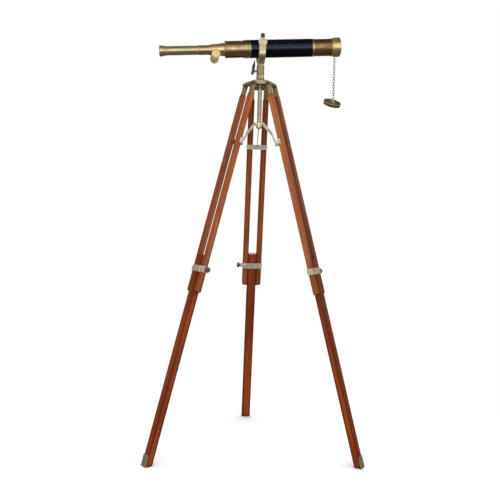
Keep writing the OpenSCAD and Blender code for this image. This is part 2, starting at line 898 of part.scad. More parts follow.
// Pinion with involute teeth at a pressure angle of 20 degrees
module pinion_outline() {
    base_r = pitch_radius * cos(20);
    tip_r = pitch_radius + tooth_module * 0.95;
    root_r = pitch_radius - 1.15 * tooth_module;
    tip_roll = sqrt(pow(tip_r / base_r, 2) - 1) * 180 / PI;
    // angle between the flank at the base circle and the middle of the tooth
    lead = 90 / pinion_teeth - backlash / pitch_radius * 90 / PI + tan(20) * 180 / PI - 20;
    steps = 5;
    circle(r = root_r);
    for (tooth = [0 : pinion_teeth - 1])
        rotate(360 / pinion_teeth * tooth)
            polygon(concat(
                [[root_r * 0.8, -root_r * sin(lead)]],
                [for (i = [0 : steps]) rotated(involute(base_r, tip_roll * i / steps), -lead)],
                [for (i = [steps : -1 : 0]) mirrored(rotated(involute(base_r, tip_roll * i / steps), -lead))],
                [[root_r * 0.8, root_r * sin(lead)]]
            ));
}

function rotated(point, angle) = [
    point[0] * cos(angle) - point[1] * sin(angle),
    point[0] * sin(angle) + point[1] * cos(angle)
];

function mirrored(point) = [point[0], -point[1]];

module pinion_shaft() {
    shaft_reach = focus_knob_reach - 1.2;
    color("silver") at_scope() translate([pinion_place, 0, -pinion_drop]) rotate([90, 0, 0]) {
        cylinder(d = shaft_d, h = 2 * shaft_reach, center = true);
        // one tooth points straight up, into a space of the rack
        rotate([0, 0, 90])
            linear_extrude(height = rack_width + 3, center = true) pinion_outline();
    }
}

module focus_knobs() {
    knob_r = focus_knob_d / 2;
    hub = 3;
    color("gold") at_scope() translate([pinion_place, 0, -pinion_drop])
        for (side = [-1, 1])
            rotate([-90 * side, 0, 0])
                translate([0, 0, focus_knob_reach - focus_knob_thickness - hub])
                    difference() {
                        rotate_extrude() polygon([
                            [shaft_d / 2 + running_fit, 0],
                            [6.5, 0],
                            [6.5, hub],
                            [knob_r - 1.6, hub],
                            [knob_r, hub + 1.6],
                            [knob_r, hub + focus_knob_thickness - 1.6],
                            [knob_r - 1.2, hub + focus_knob_thickness],
                            [knob_r - 3, hub + focus_knob_thickness],
                            [knob_r - 3.8, hub + focus_knob_thickness - 0.9],
                            [shaft_d / 2 + running_fit, hub + focus_knob_thickness - 0.9]
                        ]);
                        // grip flutes round the edge
                        for (turn = [0 : 15 : 345])
                            rotate([0, 0, turn])
                                translate([knob_r + 0.55, 0, hub])
                                    cylinder(r = 1, h = focus_knob_thickness, $fn = 16);
                    }
}

module draw_tube() {
    draw_r = draw_d / 2;
    ring_r = draw_r + 1.1;
    inner_end = rear_body_end + 45;
    color("goldenrod") at_scope() difference() {
        union() {
            turned_x([
                [barrel_start, 0],
                [barrel_start, ring_r - 0.6],
                [barrel_start + 0.8, ring_r],
                [barrel_start + 3.6, ring_r],
                [barrel_start + 4.4, draw_r - 0.1],
                [draw_end - 3, draw_r - 0.1],
                [draw_end - 2.4, ring_r - 0.4],
                [draw_end - 0.6, ring_r - 0.4],
                [draw_end, draw_r],
                [inner_end, draw_r],
                [inner_end, 0]
            ]);
        }
        rod_x(barrel_start - 1, inner_end + 1, draw_r - 1.2);
        // flat that the rack is fixed to
        translate([rack_back, -rack_width / 2 - 0.02, -draw_r - 1])
            cube([rack_front - rack_back, rack_width + 0.04, draw_r + 1 - rack_seat]);
    }
}

// Straight rack with 20 degree flanks, teeth down
module focus_rack() {
    half_root = pitch / 4 - backlash / 2 + (tooth_module + 0.2) * tan(20);
    half_tip = pitch / 4 - backlash / 2 - tooth_module * tan(20);
    first = ceil((rack_back + 1.5 - pinion_place) / pitch - 0.5);
    last = floor((rack_front - 1.5 - pinion_place) / pitch - 0.5);
    color("silver") at_scope()
        rotate([90, 0, 0])
            linear_extrude(height = rack_width, center = true) {
                translate([rack_back + 0.1, -rack_root])
                    square([rack_front - rack_back - 0.2, rack_root - rack_seat]);
                for (tooth = [first : last])
                    translate([pinion_place + (tooth + 0.5) * pitch, 0])
                        polygon([
                            [-half_root, -rack_root + 0.1],
                            [-half_root, -rack_root],
                            [-half_tip, -rack_line - tooth_module],
                            [half_tip, -rack_line - tooth_module],
                            [half_root, -rack_root],
                            [half_root, -rack_root + 0.1]
                        ]);
            }
}

module eyepiece_barrel() {
    barrel_r = barrel_d / 2;
    spigot_r = draw_d / 2 - 1.2 - running_fit;
    color("goldenrod") at_scope() difference() {
        union() {
            rod_x(barrel_end, barrel_start, barrel_r);
            rod_x(barrel_start - 1, barrel_start + 14, spigot_r);
        }
        rod_x(barrel_end - 1, barrel_start + 15, barrel_r - 2);
        rod_x(barrel_end - 1, barrel_end + 8, barrel_r - 1.2);
    }
}

// Flared eyecup with a small sight hole in a dished face
module eyecup() {
    rim_r = eyecup_d / 2;
    barrel_r = barrel_d / 2;
    hole_r = 5;
    color("darkgoldenrod") at_scope() difference() {
        union() {
            turned_x([
                [eye_end, 0],
                [eye_end, rim_r - 1.6],
                [eye_end + 1.6, rim_r],
                [eye_end + 9.5, rim_r],
                [eye_end + 10.5, rim_r - 1],
                [eye_end + 11.5, rim_r - 1],
                [eye_end + 12.5, rim_r - 0.5],
                [eye_end + 15, rim_r - 1.3],
                [eye_end + 19, barrel_r + 0.9],
                [barrel_end, barrel_r + 0.1],
                [barrel_end, 0]
            ]);
            rod_x(barrel_end - 1, barrel_end + 7.5, barrel_r - 1.2 - running_fit);
        }
        rod_x(eye_end - 1, barrel_end + 8, hole_r);
        rod_x(eye_end + 6, barrel_end + 8, 9);
        rod_x(barrel_end - 8, barrel_end + 8, barrel_r - 2.6);
        // dished face
        translate([eye_end - 30, 0, 0])
            sphere(r = 33, $fn = 128);
    }
}

// Eye lens in the eyecup and field lens at the front of the eyepiece barrel
module eyepiece_lenses() {
    color("lightblue") at_scope() {
        lens_x(eye_end + 9, 9 - 0.05, 4.5, 60, 30);
        lens_x(barrel_start + 3, barrel_d / 2 - 2 - 0.05, 4, 60, 60);
    }
}

// ---- chain and cap ----

module half_ring(radius, wire) {
    rotate([90, 0, 0])
        rotate_extrude(angle = 180)
            translate([radius, 0]) circle(d = wire, $fn = 32);
}

// One link, standing in the XZ plane
module chain_link() {
    radius = (link_inner_width + chain_wire) / 2;
    straight = link_inner_length - link_inner_width;
    for (up = [0, 1])
        rotate([0, 180 * up, 0])
            translate([0, 0, straight / 2]) half_ring(radius, chain_wire);
    for (side = [-1, 1])
        translate([side * radius, 0, 0])
            cylinder(d = chain_wire, h = straight, center = true, $fn = 32);
}

// Links are numbered from the eyelet down; every second one is turned by a quarter
module chain_links(first, last) {
    color("silver")
        for (link = [first : last])
            translate([chain_x, 0, first_link_z - (link - 1) * link_pitch])
                rotate([0, 0, link % 2 == 1 ? 0 : 90]) chain_link();
}

module chain_eyelet() {
    color("darkgoldenrod") at_scope() {
        translate([eyelet_place, 0, -cell_d / 2 - 1.8])
            cylinder(d = 2.2, h = 4);
    }
    color("darkgoldenrod") translate([chain_x, 0, eyelet_z])
        rotate([0, 0, 90])
            rotate([90, 0, 0])
                rotate_extrude()
                    translate([eyelet_radius, 0]) circle(d = chain_wire, $fn = 32);
}

module at_cap() {
    translate([chain_x, 0, cap_pivot_z])
        rotate([cap_tilt_side, cap_tilt_along, 0])
            children();
}

// Shallow cap with a raised rim; its skirt pushes into the objective cell
module lens_cap() {
    cap_r = cap_d / 2;
    face = -cap_hole_drop - knob_height;
    color("darkgoldenrod") at_cap() difference() {
        translate([0, 0, face]) rotate_extrude() polygon([
            [1.6, 0],
            [cap_r - 3, 0],
            [cap_r - 2.2, 1.8],
            [cap_r - 1, 1.8],
            [cap_r, 0.8],
            [cap_r, -1.6],
            [cap_r - 0.6, -2.2],
            [cap_r - 0.6, 1.8 - cap_height],
            [cap_r - 2, 1.8 - cap_height],
            [cap_r - 2, -1.5],
            [1.6, -1.5]
        ]);
    }
}

// Turned finial with a flat tongue that the last link passes through
module cap_knob() {
    face = -cap_hole_drop - knob_height;
    color("navajowhite") at_cap() {
        difference() {
            union() {
                translate([0, 0, face]) rotate_extrude() polygon([
                    [0, 0], [9, 0], [9, 1.4], [7.6, 2.2], [5, 4], [3.2, 6.6], [2.9, 8], [0, 8]
                ]);
                // riveted end below the face
                translate([0, 0, face - 2.4]) cylinder(r = 1.5, h = 3);
                translate([-tongue_thickness / 2, -3.4, face + 7])
                    cube([tongue_thickness, 6.8, knob_height - 7]);
                translate([0, 0, -cap_hole_drop])
                    rotate([0, 90, 0])
                        cylinder(r = 3.4, h = tongue_thickness, center = true);
            }
            translate([0, 0, -cap_hole_drop])
                rotate([0, 90, 0])
                    cylinder(d = cap_hole_d, h = 8, center = true);
        }
    }
}

// ---- spreader ----

module spreader_collar() {
    collar_r = post_d / 2 + slide_fit + collar_wall;
    color("darkkhaki") {
        difference() {
            union() {
                translate([0, 0, collar_bottom])
                    cylinder(r = collar_r, h = collar_height);
                for (leg = [0 : 2], side = [-1, 1])
                    at_leg_plane(leg)
                        translate([side * (cheek_gap + cheek) / 2, 0, 0])
                            leg_plane_plate(cheek)
                                flat_bar([post_d / 2 + 2, hub_pin[1]], hub_pin, 8);
            }
            translate([0, 0, collar_bottom - 1])
                cylinder(d = post_d + 2 * slide_fit, h = collar_height + 2);
            for (leg = [0 : 2])
                at_leg_plane(leg)
                    translate([0, hub_pin[0], hub_pin[1]])
                        rotate([0, 90, 0])
                            cylinder(d = rivet_d + 2 * running_fit, h = 20, center = true);
        }
        for (leg = [0 : 2])
            at_leg_plane(leg)
                translate([0, hub_pin[0], hub_pin[1]]) rivet();
    }
}

// Rivet through a pair of cheeks, along X, with a flat head outside each
module rivet() {
    grip = cheek_gap + 2 * cheek;
    rotate([0, 90, 0]) {
        cylinder(d = rivet_d, h = grip + 1, center = true);
        for (side = [0, 180])
            rotate([side, 0, 0])
                translate([0, 0, grip / 2 + 0.02])
                    cylinder(d1 = rivet_d + 3, d2 = rivet_d + 1.4, h = 1.2);
    }
}

module spreader_arm(leg) {
    color("darkkhaki") at_leg_plane(leg) difference() {
        leg_plane_plate(arm_thickness) {
            flat_bar(hub_pin, arm_knee, arm_width);
            flat_bar(arm_knee, lug_pin, arm_width * 2 / 3);
            translate(lug_pin) circle(r = eye_radius - 0.5);
        }
        translate([0, hub_pin[0], hub_pin[1]])
            rotate([0, 90, 0])
                cylinder(r = rivet_d / 2 + eye_play, h = 20, center = true);
        translate([0, lug_pin[0], lug_pin[1]])
            rotate([0, 90, 0])
                cylinder(d = rivet_d + 2 * running_fit, h = 20, center = true);
    }
}

// ---- legs, each drawn in its own frame: x across the leg, y outwards, -z down the leg ----

module at_rail(side) {
    translate([side * rail_spacing / 2, 0, 0]) children();
}

// side -1 carries the thumb screw, side 1 is plain
module rail(leg, side) {
    corner = 8;
    color("sienna") at_leg(leg) difference() {
        at_rail(side) {
            translate([0, 0, -rail_end])
                linear_extrude(height = rail_end - rail_shoulder)
                    rounded_rect(rail_width, rail_depth, timber_round);
            // round tenon that the ferrule is pressed on
            translate([0, 0, -rail_shoulder - 1])
                cylinder(r = tenon_r, h = rail_shoulder + 1 - rail_top);
        }
        // round lower corner on the outside of the leg
        translate([side * (leg_width / 2 - corner), 0, corner - rail_end])
            rotate([90, 0, 0])
                difference() {
                    translate([side > 0 ? 0 : -2 * corner, -2 * corner, -rail_depth])
                        cube([2 * corner, 2 * corner, 2 * rail_depth]);
                    cylinder(r = corner, h = 3 * rail_depth, center = true);
                }
        if (side < 0)
            translate([0, 0, -band_place])
                rotate([0, -90, 0])
                    cylinder(d = thumb_screw_d + 1, h = leg_width);
    }
}

// Pair of brass ferrules: a round socket with a rolled lower edge, and a flat ear for the bolt
module ferrules(leg) {
    socket_r = ferrule_d / 2;
    color("khaki") at_leg(leg)
        for (side = [-1, 1])
            at_rail(side) difference() {
                union() {
                    translate([0, 0, -rail_shoulder])
                        rotate_extrude() polygon([
                            [0, 0], [socket_r + 0.4, 0], [socket_r + 0.9, 0.6], [socket_r + 0.9, 2],
                            [socket_r + 0.4, 2.6], [socket_r, 2.6], [socket_r, ferrule_length - 1],
                            [socket_r - 1, ferrule_length], [0, ferrule_length]
                        ]);
                    leg_plane_plate(ear_thickness) {
                        circle(r = ear_radius);
                        translate([-ear_radius, -ferrule_top - 2])
                            square([2 * ear_radius, ferrule_top + 2]);
                    }
                }
                translate([0, 0, -rail_shoulder - 1])
                    cylinder(r = tenon_r + running_fit, h = rail_shoulder + 1 - rail_top);
                rotate([0, 90, 0])
                    cylinder(d = bolt_d + 2 * running_fit, h = 30, center = true);
            }
}

// Strap across the inner faces of both rails, with a clevis for the spreader arm
module brace_bracket(leg) {
    strap_inner = -rail_depth / 2;
    color("darkkhaki") at_leg(leg) translate([0, 0, -brace_place]) {
        difference() {
            union() {
                translate([-leg_width / 2 - sheet, strap_inner - sheet, -brace_height / 2])
                    cube([leg_width + 2 * sheet, sheet, brace_height]);
                for (side = [-1, 1])
                    translate([side * (leg_width + sheet) / 2, strap_inner + wing_depth / 2, 0])
                        cube([sheet, wing_depth + 0.02, brace_height], center = true);
                for (side = [-1, 1])
                    translate([side * (cheek_gap + cheek) / 2, 0, 0])
                        leg_plane_plate(cheek)
                            flat_bar([-lug_reach, 0], [strap_inner - 4, 0], 9);
            }
            // the cheeks end at the strap
            translate([-20, strap_inner, -brace_height])
                cube([40, 20, 2 * brace_height]);
            translate([0, -lug_reach, 0])
                rotate([0, 90, 0])
                    cylinder(d = rivet_d + 2 * running_fit, h = 20, center = true);
        }
        translate([0, -lug_reach, 0]) rivet();
    }
}

// Outline of what the clamp band goes round, with an allowance all round
module band_outline(allowance) {
    square([leg_width + 2 * allowance, rail_depth + 2 * allowance], center = true);
    square([bar_width + 2 * gap + 2 * allowance, bar_depth + 2 * gap + 2 * allowance], center = true);
}

module clamp_band(leg) {
    color("khaki") at_leg(leg) translate([0, 0, -band_place]) difference() {
        union() {
            translate([0, 0, -band_height / 2])
                linear_extrude(height = band_height) band_outline(sheet);
            // threaded boss for the thumb screw
            rotate([0, -90, 0])
                cylinder(d = 13, h = leg_width / 2 + sheet + band_boss);
        }
        translate([0, 0, -band_height])
            linear_extrude(height = 2 * band_height) band_outline(0);
        rotate([0, -90, 0])
            cylinder(d = thumb_screw_d + 2 * running_fit, h = leg_width);
    }
}

// Thumb screw with a fluted knob; its tip stops short of the lower bar
module thumb_screw(leg) {
    tip = bar_width / 2 - groove_depth + 2 * gap;
    seat = leg_width / 2 + sheet + band_boss + gap;
    neck = 4;
    knob_r = thumb_knob_d / 2;
    color("dimgray") at_leg(leg) translate([0, 0, -band_place]) rotate([0, -90, 0]) {
        translate([0, 0, tip]) cylinder(d = thumb_screw_d, h = seat - tip + 1);
        translate([0, 0, seat]) cylinder(d = thumb_screw_d + 4, h = neck);
        translate([0, 0, seat + neck]) difference() {
            rotate_extrude() polygon([
                [0, 0], [knob_r - 1, 0], [knob_r, 1], [knob_r, 7], [knob_r - 1, 8],
                [knob_r - 5, 8], [knob_r - 6, 9.6], [0, 9.6]
            ]);
            for (turn = [0 : 45 : 315])
                rotate([0, 0, turn])
                    translate([knob_r + 1.4, 0, -1])
                        cylinder(r = 3, h = 12, $fn = 32);
        }
    }
}

// Sliding bar with a groove down each side that a rail runs in
module lower_bar(leg) {
    groove_width = rail_depth + 2 * gap;
    color("sienna") difference() {
        at_leg(leg)
            translate([0, 0, -hinge_height / cos(splay) - 20])
                linear_extrude(height = hinge_height / cos(splay) + 20 - bar_top)
                    difference() {
                        rounded_rect(bar_width, bar_depth, timber_round - 1);
                        for (side = [-1, 1])
                            translate([side * bar_width / 2, 0])
                                square([2 * groove_depth, groove_width], center = true);
                    }
        below_floor(leg, shoe_sheet);
    }
}

// Brass shoe: a plate up the outer face of the bar, turned under its end
module foot_shoe(leg) {
    foot = hinge_height / cos(splay);
    tip_radius = 9;
    color("darkkhaki") difference() {
        union() {
            at_leg(leg) intersection() {
                translate([-bar_width / 2, bar_depth / 2, -foot - 20])
                    cube([bar_width, shoe_sheet, shoe_length + 20]);
                // round upper corners
                rotate([90, 0, 0])
                    translate([0, -foot + shoe_length / 2 - 20, 0])
                        linear_extrude(height = 4 * bar_depth, center = true)
                            rounded_rect(bar_width - 1, shoe_length + 40, tip_radius / 2);
            }
            intersection() {
                at_leg(leg)
                    translate([-bar_width / 2, -bar_depth / 2 + 3, -foot - 30])
                        cube([bar_width, bar_depth + shoe_sheet - 3, 60]);
                below_floor(leg, shoe_sheet);
            }
        }
        below_floor(leg, 0);
    }
}

head_casting();
centre_post();
post_stop();
hinge_bolts();
pan_sleeve();
yoke();
lever_screw();
lever_grip();
tilt_lock_knob();
main_tube();
leather_cover();
rear_sleeve();
front_sleeve();
objective_cell();
objective_lens();
lens_retaining_ring();
focus_housing();
trunnion_screws();
chain_eyelet();
pinion_shaft();
focus_knobs();
draw_tube();
focus_rack();
eyepiece_barrel();
eyecup();
eyepiece_lenses();
chain_links(1, 3);  // chain_links_1
chain_links(4, 8);  // chain_links_2
chain_links(9, 11);  // chain_links_3
chain_links(12, LINKS);  // chain_links_4
lens_cap();
cap_knob();
spreader_collar();
spreader_arm(BACK);  // back_spreader_arm
spreader_arm(LEFT);  // left_spreader_arm
spreader_arm(RIGHT);  // right_spreader_arm
rail(BACK, -1);  // back_rail_clamp_side
rail(BACK, 1);  // back_rail_plain_side
ferrules(BACK);  // back_ferrules
brace_bracket(BACK);  // back_brace_bracket
clamp_band(BACK);  // back_clamp_band
thumb_screw(BACK);  // back_thumb_screw
lower_bar(BACK);  // back_lower_bar
foot_shoe(BACK);  // back_foot_shoe
rail(LEFT, -1);  // left_rail_clamp_side
rail(LEFT, 1);  // left_rail_plain_side
ferrules(LEFT);  // left_ferrules
brace_bracket(LEFT);  // left_brace_bracket
clamp_band(LEFT);  // left_clamp_band
thumb_screw(LEFT);  // left_thumb_screw
lower_bar(LEFT);  // left_lower_bar
foot_shoe(LEFT);  // left_foot_shoe
rail(RIGHT, -1);  // right_rail_clamp_side
rail(RIGHT, 1);  // right_rail_plain_side
ferrules(RIGHT);  // right_ferrules
brace_bracket(RIGHT);  // right_brace_bracket
clamp_band(RIGHT);  // right_clamp_band
thumb_screw(RIGHT);  // right_thumb_screw
lower_bar(RIGHT);  // right_lower_bar
foot_shoe(RIGHT);  // right_foot_shoe
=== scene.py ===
# %% [markdown]
# # A brass and leather telescope on a folding wooden tripod
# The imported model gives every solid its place, in metres, with +Z up and the floor at zero.
# This script gives those solids softened edges and real finishes, adds the small things that a
# plain solid leaves out, such as screws, pins, stitches and chain links, and then lights them.

# %% Load the frame
import bpy, bmesh, json, math
import numpy as np
from mathutils import Matrix, Vector

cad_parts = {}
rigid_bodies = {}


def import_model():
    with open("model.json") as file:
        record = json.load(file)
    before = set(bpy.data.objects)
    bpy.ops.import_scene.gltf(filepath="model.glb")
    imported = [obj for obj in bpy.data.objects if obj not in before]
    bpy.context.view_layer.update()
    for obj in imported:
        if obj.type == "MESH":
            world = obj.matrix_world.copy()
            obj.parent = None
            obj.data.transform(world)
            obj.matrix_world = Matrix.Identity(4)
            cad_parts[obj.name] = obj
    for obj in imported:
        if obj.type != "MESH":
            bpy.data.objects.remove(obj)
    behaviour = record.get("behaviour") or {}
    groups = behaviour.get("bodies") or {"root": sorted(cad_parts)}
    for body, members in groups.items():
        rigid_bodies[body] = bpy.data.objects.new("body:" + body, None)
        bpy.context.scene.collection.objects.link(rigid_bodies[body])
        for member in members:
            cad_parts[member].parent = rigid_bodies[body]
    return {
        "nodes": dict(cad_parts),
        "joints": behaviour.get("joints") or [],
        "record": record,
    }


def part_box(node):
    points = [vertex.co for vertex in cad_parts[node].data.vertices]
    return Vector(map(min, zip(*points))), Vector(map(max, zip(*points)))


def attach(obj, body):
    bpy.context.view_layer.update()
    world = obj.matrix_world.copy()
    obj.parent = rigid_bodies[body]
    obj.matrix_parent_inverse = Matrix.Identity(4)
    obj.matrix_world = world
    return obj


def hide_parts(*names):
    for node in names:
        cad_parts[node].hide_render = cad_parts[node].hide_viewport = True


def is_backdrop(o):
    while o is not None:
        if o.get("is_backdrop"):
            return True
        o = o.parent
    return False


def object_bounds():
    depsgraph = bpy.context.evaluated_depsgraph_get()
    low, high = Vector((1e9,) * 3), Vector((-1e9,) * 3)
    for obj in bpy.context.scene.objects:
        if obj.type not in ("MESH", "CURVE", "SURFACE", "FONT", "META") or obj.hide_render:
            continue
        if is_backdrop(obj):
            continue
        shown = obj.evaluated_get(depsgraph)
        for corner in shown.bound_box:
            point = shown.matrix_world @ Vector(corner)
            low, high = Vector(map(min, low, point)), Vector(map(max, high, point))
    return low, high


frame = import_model()
cad_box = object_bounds()
nodes, record = frame["nodes"], frame["record"]
joints = {joint["name"]: joint for joint in frame["joints"]}
body_of = {node: body for body, members in record["behaviour"]["bodies"].items() for node in members}
scene = bpy.context.scene
MM = 0.001
LEGS = ("back", "left", "right")
print("nodes loaded:", len(nodes))

# %% [markdown]
# ## Camera
# The camera stands low, at a little over half the stand's height, and looks almost level.
# From there the three legs spread evenly and the telescope is seen nearly side on.
# Standing well back with a normal lens keeps the verticals straight.

# %% Camera
TURN = math.radians(-8)                    # the telescope points 8 degrees away from square
EYE = Vector((-0.019, -2.211, 0.7186))     # camera, before that turn
PITCH, ROLL = -0.0276, 0.0261              # radians
FOCAL = 1.335                              # focal length in frame widths
SENSOR = 36                                # frame width on the film, in millimetres

def make_camera():
    turn = Matrix.Rotation(TURN, 3, "Z")
    forward = turn @ Vector((0, math.cos(PITCH), math.sin(PITCH)))
    up = turn @ Vector((0, -math.sin(PITCH), math.cos(PITCH)))
    right = forward.cross(up)
    side = right * math.cos(ROLL) + up * math.sin(ROLL)
    top = up * math.cos(ROLL) - right * math.sin(ROLL)
    data = bpy.data.cameras.new("camera")
    data.sensor_width = SENSOR
    data.lens = SENSOR * FOCAL
    data.clip_start, data.clip_end = 0.05, 50
    camera = bpy.data.objects.new("camera", data)
    scene.collection.objects.link(camera)
    axes = Matrix((side, top, -forward)).transposed().to_4x4()
    camera.matrix_world = Matrix.Translation(turn @ EYE) @ axes
    scene.camera = camera
    return camera

camera = make_camera()
scene.view_settings.view_transform = "Standard"
print("camera at", [round(c, 3) for c in camera.matrix_world.translation])

# %% [markdown]
# ## Lamps
# Polished metal shows whatever stands round it, so the lamps matter more than on any other
# surface. A long soft strip in front, a little below the telescope, draws one clean line of light
# along the barrel. A tall soft panel does the same for the upright parts, and one lamp on the right
# and one behind fill in the rest. The two wide lamps above only lift the wood and the floor, and no
# metal shows them.

# %% Lamps
def lamp(name, place, aim, size, watts):
    """A soft rectangular lamp of a width and a height, turned towards a point."""
    data = bpy.data.lights.new(name, "AREA")
    data.shape, data.size, data.size_y = "RECTANGLE", size[0], size[1]
    data.energy = watts
    obj = bpy.data.objects.new(name, data)
    scene.collection.objects.link(obj)
    obj.location = place
    obj.rotation_euler = (Vector(aim) - Vector(place)).to_track_quat("-Z", "Y").to_euler()
    return obj

# each lamp's place, the point it faces, its width and height, and its watts
lamp("front_strip", (-0.3, -2.6, 1.1), (0, 0, 1.2), (3.4, 0.5), 9)
lamp("tall_panel", (-1.0, -2.5, 0.9), (0, 0, 0.8), (0.5, 1.6), 4)
lamp("right_fill", (2.4, -1.2, 1.3), (0, 0, 0.8), (1.0, 1.8), 4)
lamp("back_light", (0.6, 2.6, 2.0), (0, 0, 0.9), (2.4, 1.0), 14)
WIDE = (3.4, 2.4)
for name, place, watts in (("front_sky", (-0.3, -2.4, 1.9), 38), ("top_light", (0, 0.2, 3.4), 74)):
    lamp(name, place, (0, 0, 0.4), WIDE, watts).visible_glossy = False

# %% [markdown]
# ## White all round, and black cards
# The room is plain white. The world is white wherever the camera, a mirror or a lens looks at it,
# and a soft, cool grey where it only lights the object. A brass tube with nothing but white round
# it looks flat, so black cards hang above it, lie below it and stand round it, out of sight, as
# they would in a studio. They are real planes, and only reflections see them.

# %% World
SOFT_LIGHT = 0.42        # how strongly the room lights the object

def direct_rays(add, link):
    """1 for what the camera, a mirror or a lens sees, and 0 for light that falls on the object."""
    path, first, either = add("ShaderNodeLightPath"), add("ShaderNodeMath"), add("ShaderNodeMath")
    first.operation = either.operation = "MAXIMUM"
    link(path.outputs["Is Camera Ray"], first.inputs[0])
    link(path.outputs["Is Glossy Ray"], first.inputs[1])
    link(first.outputs[0], either.inputs[0])
    link(path.outputs["Is Transmission Ray"], either.inputs[1])
    return either.outputs[0]

def make_world():
    world = bpy.data.worlds.new("white_studio")
    world.use_nodes = True
    tree = world.node_tree
    tree.nodes.clear()
    add, link = tree.nodes.new, tree.links.new
    soft, white = add("ShaderNodeBackground"), add("ShaderNodeBackground")
    soft.inputs["Color"].default_value = (0.93, 0.96, 1.0, 1)
    soft.inputs["Strength"].default_value = SOFT_LIGHT
    white.inputs["Color"].default_value = (1, 1, 1, 1)
    mix = add("ShaderNodeMixShader")
    link(direct_rays(add, link), mix.inputs[0])
    link(soft.outputs[0], mix.inputs[1])
    link(white.outputs[0], mix.inputs[2])
    link(mix.outputs[0], add("ShaderNodeOutputWorld").inputs[0])
    scene.world = world

make_world()
print("world:", scene.world.name)

# %% Floor
def stage_plane(name, corners, material):
    """A flat sheet that dresses the scene and isn't part of the object."""
    mesh = bpy.data.meshes.new(name)
    mesh.from_pydata(corners, [], [tuple(range(len(corners)))])
    mesh.materials.append(material)
    plane = bpy.data.objects.new(name, mesh)
    scene.collection.objects.link(plane)
    plane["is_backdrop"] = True
    return plane

def level_square(half, height):
    """The corners of a level square, from its half side and its height."""
    return [(-half, -half, height), (half, -half, height), (half, half, height), (-half, half, height)]

def make_floor_paper(near, far):
    """White paper that takes the shadow near the feet and melts into the white beyond."""
    mat = bpy.data.materials.new("floor_paper")
    mat.use_nodes = True
    tree = mat.node_tree
    add, link = tree.nodes.new, tree.links.new
    paper = tree.nodes["Principled BSDF"]
    paper.inputs["Base Color"].default_value = (0.96, 0.955, 0.95, 1)
    paper.inputs["Roughness"].default_value = 0.9
    paper.inputs["Specular IOR Level"].default_value = 0.1
    white = add("ShaderNodeEmission")
    place = add("ShaderNodeTexCoord")
    flat, distance = add("ShaderNodeVectorMath"), add("ShaderNodeVectorMath")
    flat.operation, distance.operation = "MULTIPLY", "LENGTH"
    flat.inputs[1].default_value = (1, 1, 0)
    link(place.outputs["Object"], flat.inputs[0])
    link(flat.outputs[0], distance.inputs[0])
    fade = add("ShaderNodeMapRange")
    fade.interpolation_type = "SMOOTHSTEP"
    fade.inputs["From Min"].default_value, fade.inputs["From Max"].default_value = near, far
    link(distance.outputs["Value"], fade.inputs["Value"])
    share = add("ShaderNodeMath")
    share.operation = "MULTIPLY"
    link(direct_rays(add, link), share.inputs[0])
    link(fade.outputs[0], share.inputs[1])
    mix = add("ShaderNodeMixShader")
    link(share.outputs[0], mix.inputs[0])
    link(paper.outputs[0], mix.inputs[1])
    link(white.outputs[0], mix.inputs[2])
    link(mix.outputs[0], tree.nodes["Material Output"].inputs["Surface"])
    return mat

FLOOR_HALF = 8
FADE_FROM, FADE_TO = 0.8, 1.6      # where the floor starts to melt into the white, and ends
stage_plane("floor", level_square(FLOOR_HALF, 0), make_floor_paper(FADE_FROM, FADE_TO))
print("floor:", 2 * FLOOR_HALF, "m square")

# %% Black cards
def make_black_card():
    mat = bpy.data.materials.new("black_card")
    mat.use_nodes = True
    surface = mat.node_tree.nodes["Principled BSDF"]
    surface.inputs["Base Color"].default_value = (0.01, 0.01, 0.01, 1)
    surface.inputs["Roughness"].default_value = 1.0
    return mat

def hang_card(name, corners):
    """A black card that only reflections see."""
    card = stage_plane(name, corners, BLACK_CARD)
    card.visible_camera = card.visible_diffuse = False
    card.visible_shadow = card.visible_transmission = False

def upright_card(name, azimuth, distance, width, low, high):
    """A card that stands upright at an azimuth round the object, in degrees from +X, and faces it."""
    turn = math.radians(azimuth)
    middle = Vector((math.cos(turn), math.sin(turn), 0)) * distance
    side = Vector((-math.sin(turn), math.cos(turn), 0)) * width / 2
    up = Vector((0, 0, 1))
    corners = [middle - side + up * low, middle + side + up * low,
               middle + side + up * high, middle - side + up * high]
    hang_card(name, [tuple(corner) for corner in corners])

BLACK_CARD = make_black_card()
LOW_CARDS, LOW_CARD_DISTANCE, LOW_CARD_WIDTH, LOW_CARD_TOP = 8, 3.0, 2.5, 0.35
TALL_CARD_DISTANCE, TALL_CARD_WIDTH, TALL_CARD_TOP = 2.4, 1.7, 2.7
CEILING_HALF = 1.8
hang_card("floor_card", level_square(LOW_CARD_DISTANCE, 2 * MM))
hang_card("ceiling_card", level_square(CEILING_HALF, TALL_CARD_TOP))
for number in range(LOW_CARDS):
    upright_card(f"low_card_{number}", 360 / LOW_CARDS * number,
                 LOW_CARD_DISTANCE, LOW_CARD_WIDTH, 0, LOW_CARD_TOP)
for name, azimuth in (("left_card", 146), ("right_card", 17)):
    upright_card(name, azimuth, TALL_CARD_DISTANCE, TALL_CARD_WIDTH, 0, TALL_CARD_TOP)
print("cards:", sum("card" in obj.name for obj in scene.objects))

# %% [markdown]
# ## Places
# The telescope tilts and each leg splays, so each of them has a frame of its own: the barrel's runs
# along the barrel and a leg's runs up the leg. Everything else shares one upright frame. They come
# from the joints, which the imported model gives. A pattern such as wood grain is easy in such a
# frame, so each finished mesh carries its points' places in it, as an attribute named "place".

# %% Assembly frames
def frame_matrix(origin, x_axis, z_axis):
    """A frame from its origin and two of its axes, which are square to each other."""
    x_axis, z_axis = Vector(x_axis).normalized(), Vector(z_axis).normalized()
    axes = Matrix((x_axis, z_axis.cross(x_axis), z_axis)).transposed()
    return Matrix.Translation(Vector(origin)) @ axes.to_4x4()

